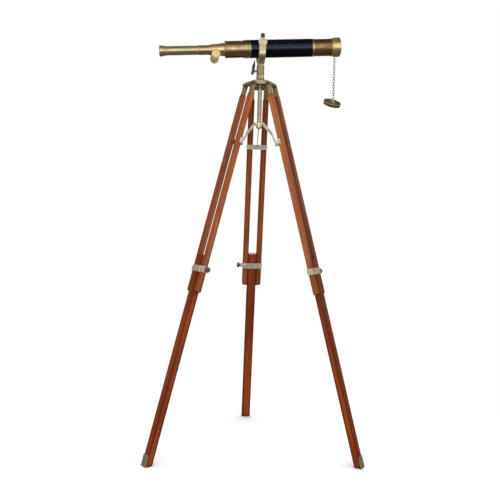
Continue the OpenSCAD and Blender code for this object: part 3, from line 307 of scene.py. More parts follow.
barrel_axis = -Vector(joints["focus_slide"]["axis"])
BARREL = frame_matrix(joints["tilt"]["pos_m"], barrel_axis, barrel_axis.cross(Vector((0, 1, 0))))
STAND = Matrix.Identity(4)
LEG_FRAMES = {
    leg: frame_matrix(
        joints[leg + "_leg_fold"]["pos_m"],
        -Vector(joints[leg + "_leg_fold"]["axis"]),
        joints[leg + "_extension_slide"]["axis"])
    for leg in LEGS
}
BARREL_BODIES = ("telescope", "focus_pinion", "eyepiece_draw")

def frame_of(node):
    """The frame of the assembly that a node belongs to."""
    leg = node.split("_")[0]
    if leg in LEG_FRAMES:
        return LEG_FRAMES[leg]
    return BARREL if body_of[node] in BARREL_BODIES else STAND

def local_box(node):
    """A node's lowest and highest corners in its assembly's frame."""
    points = np.array([v.co[:] + (1.0,) for v in nodes[node].data.vertices])
    local = (points @ np.array(frame_of(node).inverted()).T)[:, :3]
    return Vector(local.min(0)), Vector(local.max(0))

print("leg frames:", {leg: [round(c, 3) for c in m.translation] for leg, m in LEG_FRAMES.items()})

# %% [markdown]
# ## Shader groups
# Old brass is never one colour. It keeps a polished skin where hands and cloths reach it and goes
# brown where they don't. One shader group gives all the brass its cloudy tarnish and fine rubbing
# marks. One finds corners and one finds the edges of a board, and there the materials paint in shade,
# which in the brass's corners also stands for the dark wax that collects there. One cuts the fine
# rings that a lathe leaves, and one grows the wood's grain. Each material then only states its own
# colours.

# %% Shader helpers
class Shader:
    """Adds nodes to a node tree and joins them up in one line each."""
    def __init__(self, tree):
        self.tree = tree

    def add(self, kind, inputs=None, **settings):
        node = self.tree.nodes.new(kind)
        for key, value in settings.items():
            setattr(node, key, value)
        for key, value in (inputs or {}).items():
            self.put(value, node.inputs[key])
        return node

    def put(self, value, socket):
        if isinstance(value, bpy.types.NodeSocket):
            self.tree.links.new(value, socket)
        else:
            socket.default_value = value

    def noise(self, vector, scale, detail=4, rough=0.55, distort=0.0):
        return self.add("ShaderNodeTexNoise", {
            "Vector": vector, "Scale": scale, "Detail": detail,
            "Roughness": rough, "Distortion": distort}).outputs["Fac"]

    def range(self, value, low, high, to_low=0.0, to_high=1.0):
        return self.add("ShaderNodeMapRange", {
            "Value": value, "From Min": low, "From Max": high,
            "To Min": to_low, "To Max": to_high}).outputs["Result"]

    def math(self, operation, a, b=0.0, clamp=False):
        return self.add("ShaderNodeMath", {0: a, 1: b}, operation=operation, use_clamp=clamp).outputs[0]

    def stretch(self, vector, factors):
        return self.add("ShaderNodeVectorMath", {0: vector, 1: factors}, operation="MULTIPLY").outputs[0]

    def mix(self, factor, a, b):
        node = self.add("ShaderNodeMix", data_type="RGBA")
        for name, value in (("Factor_Float", factor), ("A_Color", a), ("B_Color", b)):
            self.put(value, next(s for s in node.inputs if s.identifier == name))
        return next(s for s in node.outputs if s.identifier == "Result_Color")

def new_group(name, inputs, outputs):
    """An empty shader group with named sockets, and what reads and feeds them."""
    group = bpy.data.node_groups.new(name, "ShaderNodeTree")
    for label, kind, value in inputs:
        socket = group.interface.new_socket(label, in_out="INPUT", socket_type=kind)
        if value is not None:
            socket.default_value = value
    for label, kind in outputs:
        group.interface.new_socket(label, in_out="OUTPUT", socket_type=kind)
    shader = Shader(group)
    return shader, shader.add("NodeGroupInput").outputs, shader.add("NodeGroupOutput").inputs

FLOAT, VECTOR, COLOR = "NodeSocketFloat", "NodeSocketVector", "NodeSocketColor"

# %% Tarnish and rubbing marks
def make_tarnish_group():
    s, given, out = new_group(
        "tarnish",
        [("Place", VECTOR, None), ("Cloud Size", FLOAT, 20 * MM), ("Amount", FLOAT, 0.5),
         ("Polish", FLOAT, 0.2), ("Marks", FLOAT, 0.5)],
        [("Tarnish", FLOAT), ("Roughness", FLOAT), ("Height", FLOAT)])
    scale = s.math("DIVIDE", 1.0, given["Cloud Size"])
    clouds = s.noise(given["Place"], scale, 5, 0.62, 0.4)
    specks = s.noise(given["Place"], s.math("MULTIPLY", scale, 9.0), 3, 0.6)
    both = s.math("ADD", s.math("MULTIPLY", clouds, 0.82), s.math("MULTIPLY", specks, 0.18))
    edge = s.range(given["Amount"], 0, 1, 0.7, 0.3)
    tarnish = s.range(s.math("SUBTRACT", both, edge), -0.14, 0.18)
    marks = s.math("MULTIPLY", s.noise(s.stretch(given["Place"], (1, 6, 4)), 420, 2, 0.7), given["Marks"])
    rough = s.math("ADD", given["Polish"], s.math("MULTIPLY", tarnish, 0.18))
    s.put(tarnish, out["Tarnish"])
    s.put(s.math("ADD", rough, s.math("MULTIPLY", marks, 0.12), clamp=True), out["Roughness"])
    s.put(s.math("ADD", marks, s.math("MULTIPLY", specks, 0.5)), out["Height"])
    return s.tree

TARNISH = make_tarnish_group()

# %% Painted shade in corners and along edges
def make_shade_group(name, clear, full, **settings):
    """A mask of painted shade, which grows from 0 to its strength as the surface is more hemmed in."""
    s, given, out = new_group(
        name, [("Reach", FLOAT, 4 * MM), ("Strength", FLOAT, 0.8)], [("Mask", FLOAT)])
    openness = s.add("ShaderNodeAmbientOcclusion", {"Distance": given["Reach"]},
                     samples=8, **settings).outputs["AO"]
    s.put(s.math("MULTIPLY", s.range(openness, clear, full), given["Strength"], clamp=True), out["Mask"])
    return s.tree

# painted shade where the surface is hemmed in; in the brass it also stands for the dark wax in its corners
CORNER_SHADE = make_shade_group("painted_corner_shade", 0.9, 0.35)
# probed from inside the wood, a board is closed in only along its edges, so this paints shade along them
RIM_SHADE = make_shade_group("painted_rim_shade", 0.96, 0.55, inside=True, only_local=True)

# %% Lathe rings
def make_lathe_group():
    s, given, out = new_group(
        "lathe_rings", [("Place", VECTOR, None), ("Axis", VECTOR, (1, 0, 0)), ("Ring", FLOAT, 0.6 * MM)],
        [("Height", FLOAT)])
    along = s.add("ShaderNodeVectorMath", {0: given["Place"], 1: given["Axis"]}, operation="DOT_PRODUCT")
    line = s.add("ShaderNodeCombineXYZ", {"X": along.outputs["Value"]}).outputs[0]
    s.put(s.noise(line, s.math("DIVIDE", 1.0, given["Ring"]), 2, 0.5), out["Height"])
    return s.tree

LATHE = make_lathe_group()

# %% Wood grain
def make_grain_group():
    s, given, out = new_group(
        "wood_grain",
        [("Place", VECTOR, None), ("Light", COLOR, (0.5, 0.15, 0.05, 1)),
         ("Middle", COLOR, (0.3, 0.07, 0.02, 1)), ("Dark", COLOR, (0.1, 0.02, 0.01, 1))],
        [("Color", COLOR), ("Roughness", FLOAT), ("Height", FLOAT)])
    drift = s.noise(s.stretch(given["Place"], (1, 1, 0.3)), 9, 2)
    rings = s.add("ShaderNodeTexWave", {
        "Vector": s.stretch(given["Place"], (1, 1, 0.045)), "Scale": 48, "Distortion": 9.0,
        "Detail": 3.0, "Detail Scale": 1.8}, wave_type="RINGS", rings_direction="Z").outputs["Fac"]
    fibres = s.noise(s.stretch(given["Place"], (1, 1, 0.012)), 1500, 3, 0.6)
    pores = s.range(s.noise(s.stretch(given["Place"], (1, 1, 0.03)), 2300, 2, 0.5), 0.62, 0.72)
    figure = s.math("ADD", s.math("MULTIPLY", rings, 0.32), s.math("MULTIPLY", fibres, 0.68))
    body = s.mix(s.range(figure, 0.34, 0.66), given["Middle"], given["Light"])
    body = s.mix(s.range(drift, 0.42, 0.72, 0, 0.75), body, given["Dark"])
    s.put(s.mix(s.math("MULTIPLY", pores, 0.6), body, given["Dark"]), out["Color"])
    s.put(s.range(fibres, 0.2, 0.8, 0.26, 0.4), out["Roughness"])
    s.put(s.math("SUBTRACT", fibres, pores), out["Height"])
    return s.tree

GRAIN = make_grain_group()
print("shader groups:", [g.name for g in (TARNISH, CORNER_SHADE, RIM_SHADE, LATHE, GRAIN)])

# %% [markdown]
# ## Brass and steel
# The brass here is one alloy in several states. Each finish is two colours, a polished one and a
# tarnished one, and an amount of tarnish between them. An edge that hands and cloths rub is
# always brighter than the face beside it, so every brass has a second, brighter material that the
# bevelled edges of a piece wear.

# %% Metal materials
def new_material(name):
    """A material, a helper for its nodes, its surface shader, and the place its patterns read."""
    mat = bpy.data.materials.new(name)
    mat.use_nodes = True
    shader = Shader(mat.node_tree)
    surface = mat.node_tree.nodes["Principled BSDF"]
    place = shader.add("ShaderNodeAttribute", attribute_name="place").outputs["Vector"]
    return mat, shader, surface, place

def use_group(shader, group, **inputs):
    """Places a shader group, with a socket's spaces written as underscores."""
    node = shader.add("ShaderNodeGroup", node_tree=group)
    for label, value in inputs.items():
        shader.put(value, node.inputs[label.replace("_", " ")])
    return node.outputs

def bump(shader, surface, height, depth, strength=0.4):
    """Roughens a surface by a pattern of this depth, without moving its mesh."""
    node = shader.add("ShaderNodeBump", {"Height": height, "Strength": strength, "Distance": depth})
    shader.put(node.outputs["Normal"], surface.inputs["Normal"])

CLOUD_SIZE, CORNER_REACH = 35 * MM, 4 * MM

def make_metal(name, bright, dark, amount=0.4, polish=0.2, marks=0.5, corner=0.8, metal=0.92, axis=None):
    """A metal between a bright and a dark state, with shade painted into its corners along with dark wax.
    """
    mat, s, surface, place = new_material(name)
    skin = use_group(s, TARNISH, Place=place, Cloud_Size=CLOUD_SIZE, Amount=amount, Polish=polish,
                     Marks=marks)
    # the corner mask darkens the colour where the surface is hemmed in: painted shade, and the dark wax
    # that old brass holds there
    mask = use_group(s, CORNER_SHADE, Reach=CORNER_REACH, Strength=corner)["Mask"]
    color = s.mix(skin["Tarnish"], (*bright, 1), (*dark, 1))
    wax_and_shade = (dark[0] * 0.25, dark[1] * 0.22, dark[2] * 0.2, 1)
    s.put(s.mix(mask, color, wax_and_shade), surface.inputs["Base Color"])
    s.put(s.range(skin["Tarnish"], 0, 1, metal, metal * 0.85), surface.inputs["Metallic"])
    rough = s.math("ADD", skin["Roughness"], s.math("MULTIPLY", mask, 0.3), clamp=True)
    s.put(rough, surface.inputs["Roughness"])
    height = skin["Height"]
    if axis:
        rings = use_group(s, LATHE, Place=place, Axis=axis)["Height"]
        height = s.math("ADD", s.math("MULTIPLY", height, 0.5), rings)
    bump(s, surface, height, 0.03 * MM, 0.15)
    return mat

METALS = {}

def add_metal(name, bright, dark, rubbed=None, **settings):
    """One metal for a piece's faces and a better rubbed one for its edges."""
    face = make_metal(name, bright, dark, **settings)
    rubbed = rubbed or tuple(min(1.0, c * 1.4 + 0.08) for c in bright)
    edge = make_metal(name + "_edge", rubbed, bright, amount=0.25, polish=0.22, corner=0.3)
    METALS[name] = (face, edge)

# %% The metals
ALONG_BARREL, UPRIGHT = (1, 0, 0), (0, 0, 1)
add_metal("head_brass", (0.66, 0.55, 0.34), (0.11, 0.08, 0.035), amount=0.42, polish=0.3, corner=1.0)
add_metal("sleeve_brass", (0.42, 0.32, 0.15), (0.2, 0.14, 0.06), amount=0.3, polish=0.24, axis=UPRIGHT)
add_metal("post_brass", (0.42, 0.37, 0.26), (0.28, 0.24, 0.16), amount=0.2, polish=0.2, marks=0.2)
add_metal("yoke_brass", (0.64, 0.54, 0.34), (0.42, 0.33, 0.19), amount=0.25, polish=0.3)
add_metal("tube_brass", (0.62, 0.5, 0.29), (0.36, 0.27, 0.14), amount=0.3, polish=0.26, axis=ALONG_BARREL)
add_metal("antique_brass", (0.5, 0.345, 0.16), (0.17, 0.09, 0.026), amount=0.45, polish=0.24,
          metal=1.0, axis=ALONG_BARREL)
add_metal("rear_brass", (0.64, 0.48, 0.27), (0.22, 0.13, 0.045), amount=0.42, polish=0.24,
          metal=1.0, axis=ALONG_BARREL)
add_metal("barrel_brass", (0.66, 0.55, 0.33), (0.34, 0.26, 0.14), amount=0.35, polish=0.28,
          axis=ALONG_BARREL)
add_metal("housing_brass", (0.82, 0.59, 0.29), (0.5, 0.33, 0.14), amount=0.25, polish=0.26,
          axis=ALONG_BARREL)
add_metal("bright_brass", (0.78, 0.58, 0.25), (0.5, 0.33, 0.12), amount=0.25, polish=0.28,
          axis=ALONG_BARREL)
add_metal("cap_brass", (0.32, 0.23, 0.11), (0.05, 0.035, 0.018), rubbed=(0.78, 0.6, 0.28),
          amount=0.5, polish=0.28)
add_metal("ferrule_brass", (0.38, 0.27, 0.11), (0.12, 0.08, 0.028), amount=0.4, polish=0.26, axis=UPRIGHT)
add_metal("band_brass", (0.66, 0.54, 0.35), (0.26, 0.2, 0.1), amount=0.42, polish=0.34, metal=0.5)
add_metal("spreader_brass", (0.66, 0.58, 0.46), (0.24, 0.2, 0.15), amount=0.35, polish=0.34, metal=0.4)
add_metal("shoe_brass", (0.42, 0.35, 0.2), (0.12, 0.095, 0.045), amount=0.45, polish=0.38, metal=0.55)
add_metal("bright_steel", (0.44, 0.42, 0.38), (0.16, 0.15, 0.13), amount=0.4, polish=0.26)
add_metal("dark_steel", (0.22, 0.21, 0.19), (0.06, 0.055, 0.05), amount=0.5, polish=0.32)
add_metal("chain_metal", (0.045, 0.045, 0.042), (0.02, 0.02, 0.018), amount=0.4, polish=0.2)
print("metals:", len(METALS))

# %% [markdown]
# ## Wood, leather, lacquer, glass, black paint and thread
# The timber is a reddish hardwood: a grain that runs up the leg, with shade painted along the edges
# of each board and into its corners, and a thin coat of varnish over it. The leather is dyed black
# and polished with wax, so it has a fine pebble and a broad sheen. Turned handles are lacquered black,
# the inside of every tube is painted dull black, which keeps stray light out of the eyepiece, and the
# leather's seam is sewn with dark waxed thread.

# %% Wood
def make_wood(name, light, middle, dark, shine):
    """Varnished hardwood between three tones of one red brown, with shade painted along its edges and into
    its corners.
    """
    mat, s, surface, place = new_material(name)
    grain = use_group(s, GRAIN, Place=place, Light=(*light, 1), Middle=(*middle, 1), Dark=(*dark, 1))
    mask = use_group(s, CORNER_SHADE, Reach=5 * MM, Strength=0.8)["Mask"]
    rims = use_group(s, RIM_SHADE, Reach=6 * MM, Strength=0.9)["Mask"]
    # both masks darken the wood where shade falls, along the board's edges and in its corners: painted
    # shade
    color = s.mix(rims, grain["Color"], (*dark, 1))
    s.put(s.mix(mask, color, (0.02, 0.006, 0.003, 1)), surface.inputs["Base Color"])
    s.put(grain["Roughness"], surface.inputs["Roughness"])
    surface.inputs["Specular IOR Level"].default_value = shine
    surface.inputs["Coat Weight"].default_value = shine
    surface.inputs["Coat Roughness"].default_value = 0.15
    bump(s, surface, grain["Height"], 0.06 * MM, 0.3)
    return mat

# the pale rail wood paints light onto two rails; all rail wood is lighter than the bars' wood, which
# paints the stronger light on the upper legs and the shade on the lower ones
LIT_RAIL_WOOD = make_wood("rail_wood", (0.43, 0.12, 0.022), (0.24, 0.05, 0.008), (0.09, 0.016, 0.003),
                      shine=0.18)
RED_WOOD = make_wood("red_rail_wood", (0.35, 0.083, 0.015), (0.18, 0.034, 0.006), (0.06, 0.010, 0.002),
                     shine=0.15)
BAR_WOOD = make_wood("bar_wood", (0.32, 0.055, 0.007), (0.18, 0.026, 0.003), (0.07, 0.009, 0.001),
                     shine=0.14)
print("woods:", LIT_RAIL_WOOD.name, RED_WOOD.name, BAR_WOOD.name)

# %% Leather and lacquer
def make_leather():
    mat, s, surface, place = new_material("black_leather")
    pebbles = s.add("ShaderNodeTexVoronoi", {"Vector": place, "Scale": 900},
                    feature="SMOOTH_F1").outputs["Distance"]
    creases = s.noise(s.stretch(place, (0.4, 1, 1)), 160, 4, 0.6)
    wear = s.range(s.noise(place, 30, 5, 0.6), 0.5, 0.75)
    s.put(s.mix(wear, (0.0015, 0.0018, 0.003, 1), (0.005, 0.005, 0.006, 1)), surface.inputs["Base Color"])
    s.put(s.range(creases, 0.3, 0.7, 0.2, 0.3), surface.inputs["Roughness"])
    surface.inputs["Specular Tint"].default_value = (0.62, 0.76, 1.0, 1)
    height = s.math("SUBTRACT", s.math("MULTIPLY", creases, 0.6), pebbles)
    bump(s, surface, height, 0.08 * MM, 0.2)
    return mat

def make_lacquer():
    mat, s, surface, place = new_material("black_lacquer")
    scuffs = s.range(s.noise(place, 260, 5, 0.65), 0.55, 0.7)
    s.put(s.mix(scuffs, (0.006, 0.006, 0.007, 1), (0.03, 0.028, 0.026, 1)), surface.inputs["Base Color"])
    s.put(s.range(scuffs, 0, 1, 0.16, 0.34), surface.inputs["Roughness"])
    surface.inputs["Coat Weight"].default_value = 0.6
    surface.inputs["Coat Roughness"].default_value = 0.08
    bump(s, surface, scuffs, 0.03 * MM, 0.3)
    return mat

LEATHER, LACQUER = make_leather(), make_lacquer()
print("coverings:", LEATHER.name, LACQUER.name)

# %% Glass, black paint and thread
def make_glass():
    mat, s, surface, place = new_material("lens_glass")
    smudge = s.range(s.noise(place, 90, 4, 0.6), 0.45, 0.75)
    s.put(s.mix(smudge, (0.90, 0.97, 0.96, 1), (0.84, 0.90, 0.93, 1)), surface.inputs["Base Color"])
    s.put(s.range(smudge, 0, 1, 0.01, 0.06), surface.inputs["Roughness"])
    surface.inputs["Transmission Weight"].default_value = 1.0
    surface.inputs["IOR"].default_value = 1.52
    surface.inputs["Metallic"].default_value = 0.0
    return mat

def make_black_paint():
    mat, s, surface, place = new_material("black_paint")
    dust = s.noise(place, 500, 4, 0.6)
    s.put(s.mix(s.range(dust, 0.5, 0.75), (0.008, 0.008, 0.008, 1), (0.03, 0.028, 0.025, 1)),
          surface.inputs["Base Color"])
    s.put(s.range(dust, 0.3, 0.7, 0.6, 0.85), surface.inputs["Roughness"])
    bump(s, surface, dust, 0.05 * MM)
    return mat

def make_thread():
    mat, s, surface, place = new_material("waxed_thread")
    twist = s.add("ShaderNodeTexWave", {"Vector": place, "Scale": 700, "Distortion": 1.0},
                  bands_direction="DIAGONAL").outputs["Fac"]
    s.put(s.mix(twist, (0.012, 0.011, 0.01, 1), (0.05, 0.045, 0.04, 1)), surface.inputs["Base Color"])
    s.put(s.range(twist, 0, 1, 0.5, 0.7), surface.inputs["Roughness"])
    bump(s, surface, twist, 0.06 * MM)
    return mat

GLASS, BLACK_PAINT, THREAD = make_glass(), make_black_paint(), make_thread()
print("materials:", len(bpy.data.materials))

# %% [markdown]
# ## Softened edges
# The solids arrive as loose triangles with knife-sharp edges. Nothing that is cast, turned or
# filed has such an edge, and it is the thin line of light on a rounded edge that makes metal look
# solid. Each solid is copied, its doubled points are merged, flat faces are joined up again, and
# a small bevel goes round every real edge. Where two bevels meet they can leave points on top of
# each other, and those are welded. The copy then stands for the solid.

# %% Copy a solid
slot_of = {part["node"]: part["material_slot"] for part in record["subparts"]}
DOUBLED, CLOSE = 0.002 * MM, 0.005 * MM      # points as near as this are one point
FLAT, SHARP = math.radians(0.4), math.radians(32)

def joined_mesh(node):
    """A copy of a solid's triangles with doubled points merged and flat faces joined up."""
    source = nodes[node].data
    mesh = bpy.data.meshes.new(node + "_joined")
    mesh.from_pydata([v.co[:] for v in source.vertices], [], [p.vertices[:] for p in source.polygons])
    shape = bmesh.new()
    shape.from_mesh(mesh)
    bmesh.ops.remove_doubles(shape, verts=shape.verts, dist=DOUBLED)
    bmesh.ops.dissolve_limit(shape, angle_limit=FLAT, verts=shape.verts, edges=shape.edges)
    shape.to_mesh(mesh)
    shape.free()
    return mesh

# %% Bevel and finish one solid
def write_place(mesh, matrix, shift=(0, 0, 0)):
    """Writes each point's place in an assembly's frame to the mesh, for the materials to read."""
    points = np.empty(len(mesh.vertices) * 3, np.float32)
    mesh.vertices.foreach_get("co", points)
    points = points.reshape(-1, 3)
    inverse = np.array(matrix.inverted())
    local = points @ inverse[:3, :3].T + inverse[:3, 3] + np.array(shift)
    place = mesh.attributes.get("place") or mesh.attributes.new("place", "FLOAT_VECTOR", "POINT")
    place.data.foreach_set("vector", local.astype(np.float32).ravel())

def applied(obj, name):
    """The evaluated object as a plain mesh object, with the old one removed."""
    bpy.context.view_layer.update()
    evaluated = obj.evaluated_get(bpy.context.evaluated_depsgraph_get())
    mesh = bpy.data.meshes.new_from_object(evaluated)
    bpy.data.objects.remove(obj)
    mesh.name = name
    plain = bpy.data.objects.new(name, mesh)
    scene.collection.objects.link(plain)
    return plain

def smooth(mesh):
    mesh.shade_smooth()
    mesh.set_sharp_from_angle(angle=SHARP)

def softened(node, materials, edge=0.4 * MM, segments=2, shift=(0, 0, 0)):
    """The solid with rounded edges and its finish. The last material is the one on its edges."""
    mesh = joined_mesh(node)
    for material in materials:
        mesh.materials.append(material)
    smooth(mesh)
    obj = bpy.data.objects.new(node + "_raw", mesh)
    scene.collection.objects.link(obj)
    if edge:
        bevel = obj.modifiers.new("edge", "BEVEL")
        bevel.limit_method, bevel.angle_limit = "ANGLE", SHARP
        bevel.width, bevel.segments = edge, segments
        bevel.material = len(materials) - 1
        weld = obj.modifiers.new("close_up", "WELD")
        weld.merge_threshold = CLOSE
        even = obj.modifiers.new("even_light", "WEIGHTED_NORMAL")
        even.keep_sharp = True
    piece = applied(obj, node + "_finished")
    write_place(piece.data, frame_of(node), shift)
    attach(piece, body_of[node])
    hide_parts(node)
    return piece

# %% [markdown]
# ## Brass and steel pieces
# Every solid gets the finish that its place on the real telescope earned it: handled fittings are
# bright, the barrel's sleeves have gone brown, and bolts and thumb screws are dark steel. Small
# pieces get a smaller bevel, so that it doesn't eat their shape.

# %% Metal pieces
FINISH = {
    "head_brass": ("head_casting", "post_stop"),
    "sleeve_brass": ("pan_sleeve",),
    "post_brass": ("centre_post",),
    "yoke_brass": ("yoke", "cap_knob"),
    "tube_brass": ("draw_tube",),
    "rear_brass": ("rear_sleeve",),
    "antique_brass": ("front_sleeve", "lens_retaining_ring", "chain_eyelet"),
    "barrel_brass": ("eyepiece_barrel", "eyecup"),
    "housing_brass": ("focus_housing",),
    "bright_brass": ("objective_cell", "trunnion_screws", "focus_knobs"),
    "cap_brass": ("lens_cap",),
    "ferrule_brass": tuple(leg + "_ferrules" for leg in LEGS),
    "band_brass": ("left_clamp_band", "right_clamp_band"),
    "spreader_brass": ("spreader_collar", "back_clamp_band") + tuple(
        leg + end for leg in LEGS for end in ("_brace_bracket", "_spreader_arm")),
    "shoe_brass": tuple(leg + "_foot_shoe" for leg in LEGS),
    "bright_steel": ("lever_screw", "pinion_shaft", "focus_rack"),
    "dark_steel": ("hinge_bolts",) + tuple(leg + "_thumb_screw" for leg in LEGS),
}
BEVEL = 0.35           # in millimetres, as are the others
OTHER_BEVELS = {"pinion_shaft": 0.08, "focus_rack": 0.08, "lens_retaining_ring": 0.15,
                "focus_knobs": 0.25, "trunnion_screws": 0.15, "lever_screw": 0.2,
                "hinge_bolts": 0.25, "chain_eyelet": 0, "lens_cap": 0.6}
for finish, members in FINISH.items():
    for node in members:
        softened(node, METALS[finish], edge=OTHER_BEVELS.get(node, BEVEL) * MM)
print("metal pieces:", sum(len(members) for members in FINISH.values()))

# %% [markdown]
# ## Blackened tubes and lenses
# The main tube hides under its leather and its sleeves, so only its inside and its trunnion pads
# ever show. In every tube, faces that look towards the barrel's axis get the black paint. The
# lenses keep the exact curves of their solids, with no bevel.

# %% Tubes
INWARD = -0.3          # how far a face's normal must point back at the axis

def blacken_inside(piece, material):
    """Paints the faces of a tube that face its axis."""
    mesh = piece.data
    mesh.materials.append(material)
    paint = len(mesh.materials) - 1
    inverse = BARREL.inverted()
    turn = inverse.to_3x3()
    for face in mesh.polygons:
        outward = inverse @ face.center
        outward.x = 0
        if outward.length > 1e-6 and (turn @ face.normal).dot(outward.normalized()) < INWARD:
            face.material_index = paint

tube = softened("main_tube", METALS["tube_brass"])
blacken_inside(tube, BLACK_PAINT)
for node in ("draw_tube_finished", "eyepiece_barrel_finished", "front_sleeve_finished"):
    blacken_inside(bpy.data.objects[node], BLACK_PAINT)
print("main tube:", len(tube.data.polygons), "faces")

# %% Lenses
LENSES = ("objective_lens", "eyepiece_lenses")
for node in LENSES:
    softened(node, (GLASS,), edge=0)
print("lenses:", *LENSES)

# %% [markdown]
# ## Timber
# Rails and bars already have rounded edges, so they only need merging and a hair of bevel where
# they were sawn off. Each one's grain is cut from another part of the plank, by shifting the
# place that its material reads. Any shifts will do, as long as they are far apart. Two of the
# rails, one on the left leg and one on the right, get a paler wood than the rest, which paints on
# them the light that falls on the faces turned to the lamps.

# %% Rails and bars
LIT_RAILS = ("left_rail_clamp_side", "right_rail_plain_side")
PLANKS = ("rail_clamp_side", "rail_plain_side", "lower_bar")
for number, leg in enumerate(LEGS):
    for cut, plank in enumerate(PLANKS):
        shift = (0.31 * cut + 0.07, 0.017 * number, 1.9 * number + 0.6 * cut)
        node = leg + "_" + plank
        # the bars' darker wood is painted shade, and the two pale rails are painted light
        wood = BAR_WOOD if plank == "lower_bar" else LIT_RAIL_WOOD if node in LIT_RAILS else RED_WOOD
        softened(node, (wood,), edge=0.5 * MM, shift=shift)
print("timbers:", len(LEGS) * len(PLANKS))

# %% [markdown]
# ## Handles and leather
# The lever's grip and the tilt-lock knob are turned and lacquered. A cut edge of leather is rounder
# than a metal one, so the cover's bevel is wider and has one step more.

# %% Handles and leather
HANDLES = ("lever_grip", "tilt_lock_knob")
for node in HANDLES:
    softened(node, (LACQUER,), edge=0.3 * MM)
softened("leather_cover", (LEATHER,), edge=0.5 * MM, segments=3)
print("handles:", *HANDLES)

# %% [markdown]
# ## Small fasteners by Geometry Nodes
# The brass on the legs is held by slotted wood screws and by pins. There are dozens, all alike,
# so each head is modelled once in a node tree and set on points that know which way they face. The
# slots end at chance angles, from a fixed seed, because nobody lines them up by hand.

# %% Node tree helpers
class Tree(Shader):
    """A Geometry Nodes tree with named inputs, built with the same short calls."""
    def __init__(self, name, inputs):
        tree = bpy.data.node_groups.new(name, "GeometryNodeTree")
        tree.interface.new_socket("Geometry", in_out="INPUT", socket_type="NodeSocketGeometry")
        self.sockets = {}
        for label, value in inputs.items():
            kind = "NodeSocketInt" if isinstance(value, int) else FLOAT
            socket = tree.interface.new_socket(label, in_out="INPUT", socket_type=kind)
            socket.default_value = value
            self.sockets[label] = socket.identifier
        tree.interface.new_socket("Geometry", in_out="OUTPUT", socket_type="NodeSocketGeometry")
        super().__init__(tree)
        self.given = self.add("NodeGroupInput").outputs

    def facing(self, axis):
        """The turn that brings an axis of a shape to the way that its point faces."""
        way = self.add("GeometryNodeInputNamedAttribute", {"Name": "facing"},
                       data_type="FLOAT_VECTOR").outputs[0]
        return self.add("FunctionNodeAlignRotationToVector", {"Vector": way}, axis=axis).outputs[0]

    def finish(self, shape, rotation, material):
        """Sets the shape on every point, as plain mesh in its material."""
        placed = self.add("GeometryNodeInstanceOnPoints", {
            "Points": self.given["Geometry"], "Instance": shape, "Rotation": rotation}).outputs[0]
        plain = self.add("GeometryNodeRealizeInstances", {"Geometry": placed}).outputs[0]
        done = self.add("GeometryNodeSetMaterial", {"Geometry": plain, "Material": material}).outputs[0]
        self.put(done, self.add("NodeGroupOutput").inputs[0])
        return self

def grown(tree, name, points, facings, sizes, body, matrix, slot):
    """Runs a tree on points that know which way they face, and rides the result on a body."""
    mesh = bpy.data.meshes.new(name)
    mesh.from_pydata([tuple(point) for point in points], [], [])
    facing = mesh.attributes.new("facing", "FLOAT_VECTOR", "POINT")
    facing.data.foreach_set("vector", [c for direction in facings for c in direction])
    obj = bpy.data.objects.new(name + "_points", mesh)
    scene.collection.objects.link(obj)
    modifier = obj.modifiers.new("grow", "NODES")
    modifier.node_group = tree.tree
    for label, value in sizes.items():
        modifier[tree.sockets[label]] = value
    piece = applied(obj, name)
    smooth(piece.data)
    write_place(piece.data, matrix)
    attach(piece, body)
    return piece

# %% Heads of screws and pins
def make_head_tree(name, material, slotted):
    """A domed head on every point, sunk a little into what it holds, with a slot if it has one."""
    t = Tree(name, {"Head Radius": 2.4 * MM, "Head Height": 1.2 * MM, "Slot Width": 0.7 * MM, "Seed": 3})
    radius, height = t.given["Head Radius"], t.given["Head Height"]
    depth = t.math("MULTIPLY", height, 2.0)
    head = t.add("GeometryNodeMeshCylinder", {
        "Vertices": 20, "Side Segments": 6, "Fill Segments": 1,
        "Radius": radius, "Depth": depth}).outputs["Mesh"]
    at = t.add("ShaderNodeSeparateXYZ", {0: t.add("GeometryNodeInputPosition").outputs[0]}).outputs
    rise = t.math("DIVIDE", at["Z"], height, clamp=True)
    narrow = t.math("SUBTRACT", 1.0, t.math("MULTIPLY", t.math("POWER", rise, 3.0), 0.45))
    domed = t.add("ShaderNodeCombineXYZ", {
        "X": t.math("MULTIPLY", at["X"], narrow), "Y": t.math("MULTIPLY", at["Y"], narrow),
        "Z": at["Z"]}).outputs[0]
    head = t.add("GeometryNodeSetPosition", {"Geometry": head, "Position": domed}).outputs[0]
    if slotted:
        size = t.add("ShaderNodeCombineXYZ", {
            "X": t.math("MULTIPLY", radius, 3.0), "Y": t.given["Slot Width"], "Z": height}).outputs[0]
        slot = t.add("GeometryNodeMeshCube", {"Size": size}).outputs["Mesh"]
        lift = t.add("ShaderNodeCombineXYZ", {"Z": height}).outputs[0]
        slot = t.add("GeometryNodeTransform", {"Geometry": slot, "Translation": lift}).outputs[0]
        cut = t.add("GeometryNodeMeshBoolean", operation="DIFFERENCE")
        t.put(head, cut.inputs["Mesh 1"])
        t.put(slot, cut.inputs["Mesh 2"])
        head = cut.outputs["Mesh"]
    # the random node has one socket of each label per data type, so these are found by identifier
    chance = t.add("FunctionNodeRandomValue", data_type="FLOAT")
    t.put(math.pi, next(i for i in chance.inputs if i.identifier == "Max_001"))
    t.put(t.given["Seed"], next(i for i in chance.inputs if i.identifier == "Seed"))
    angle = next(o for o in chance.outputs if o.identifier == "Value_001")
    twist = t.add("FunctionNodeAxisAngleToRotation", {"Axis": (0, 0, 1), "Angle": angle}).outputs[0]
    turned = t.add("FunctionNodeRotateRotation", {"Rotation": t.facing("Z"), "Rotate By": twist},
                   rotation_space="LOCAL").outputs[0]
    return t.finish(head, turned, material)

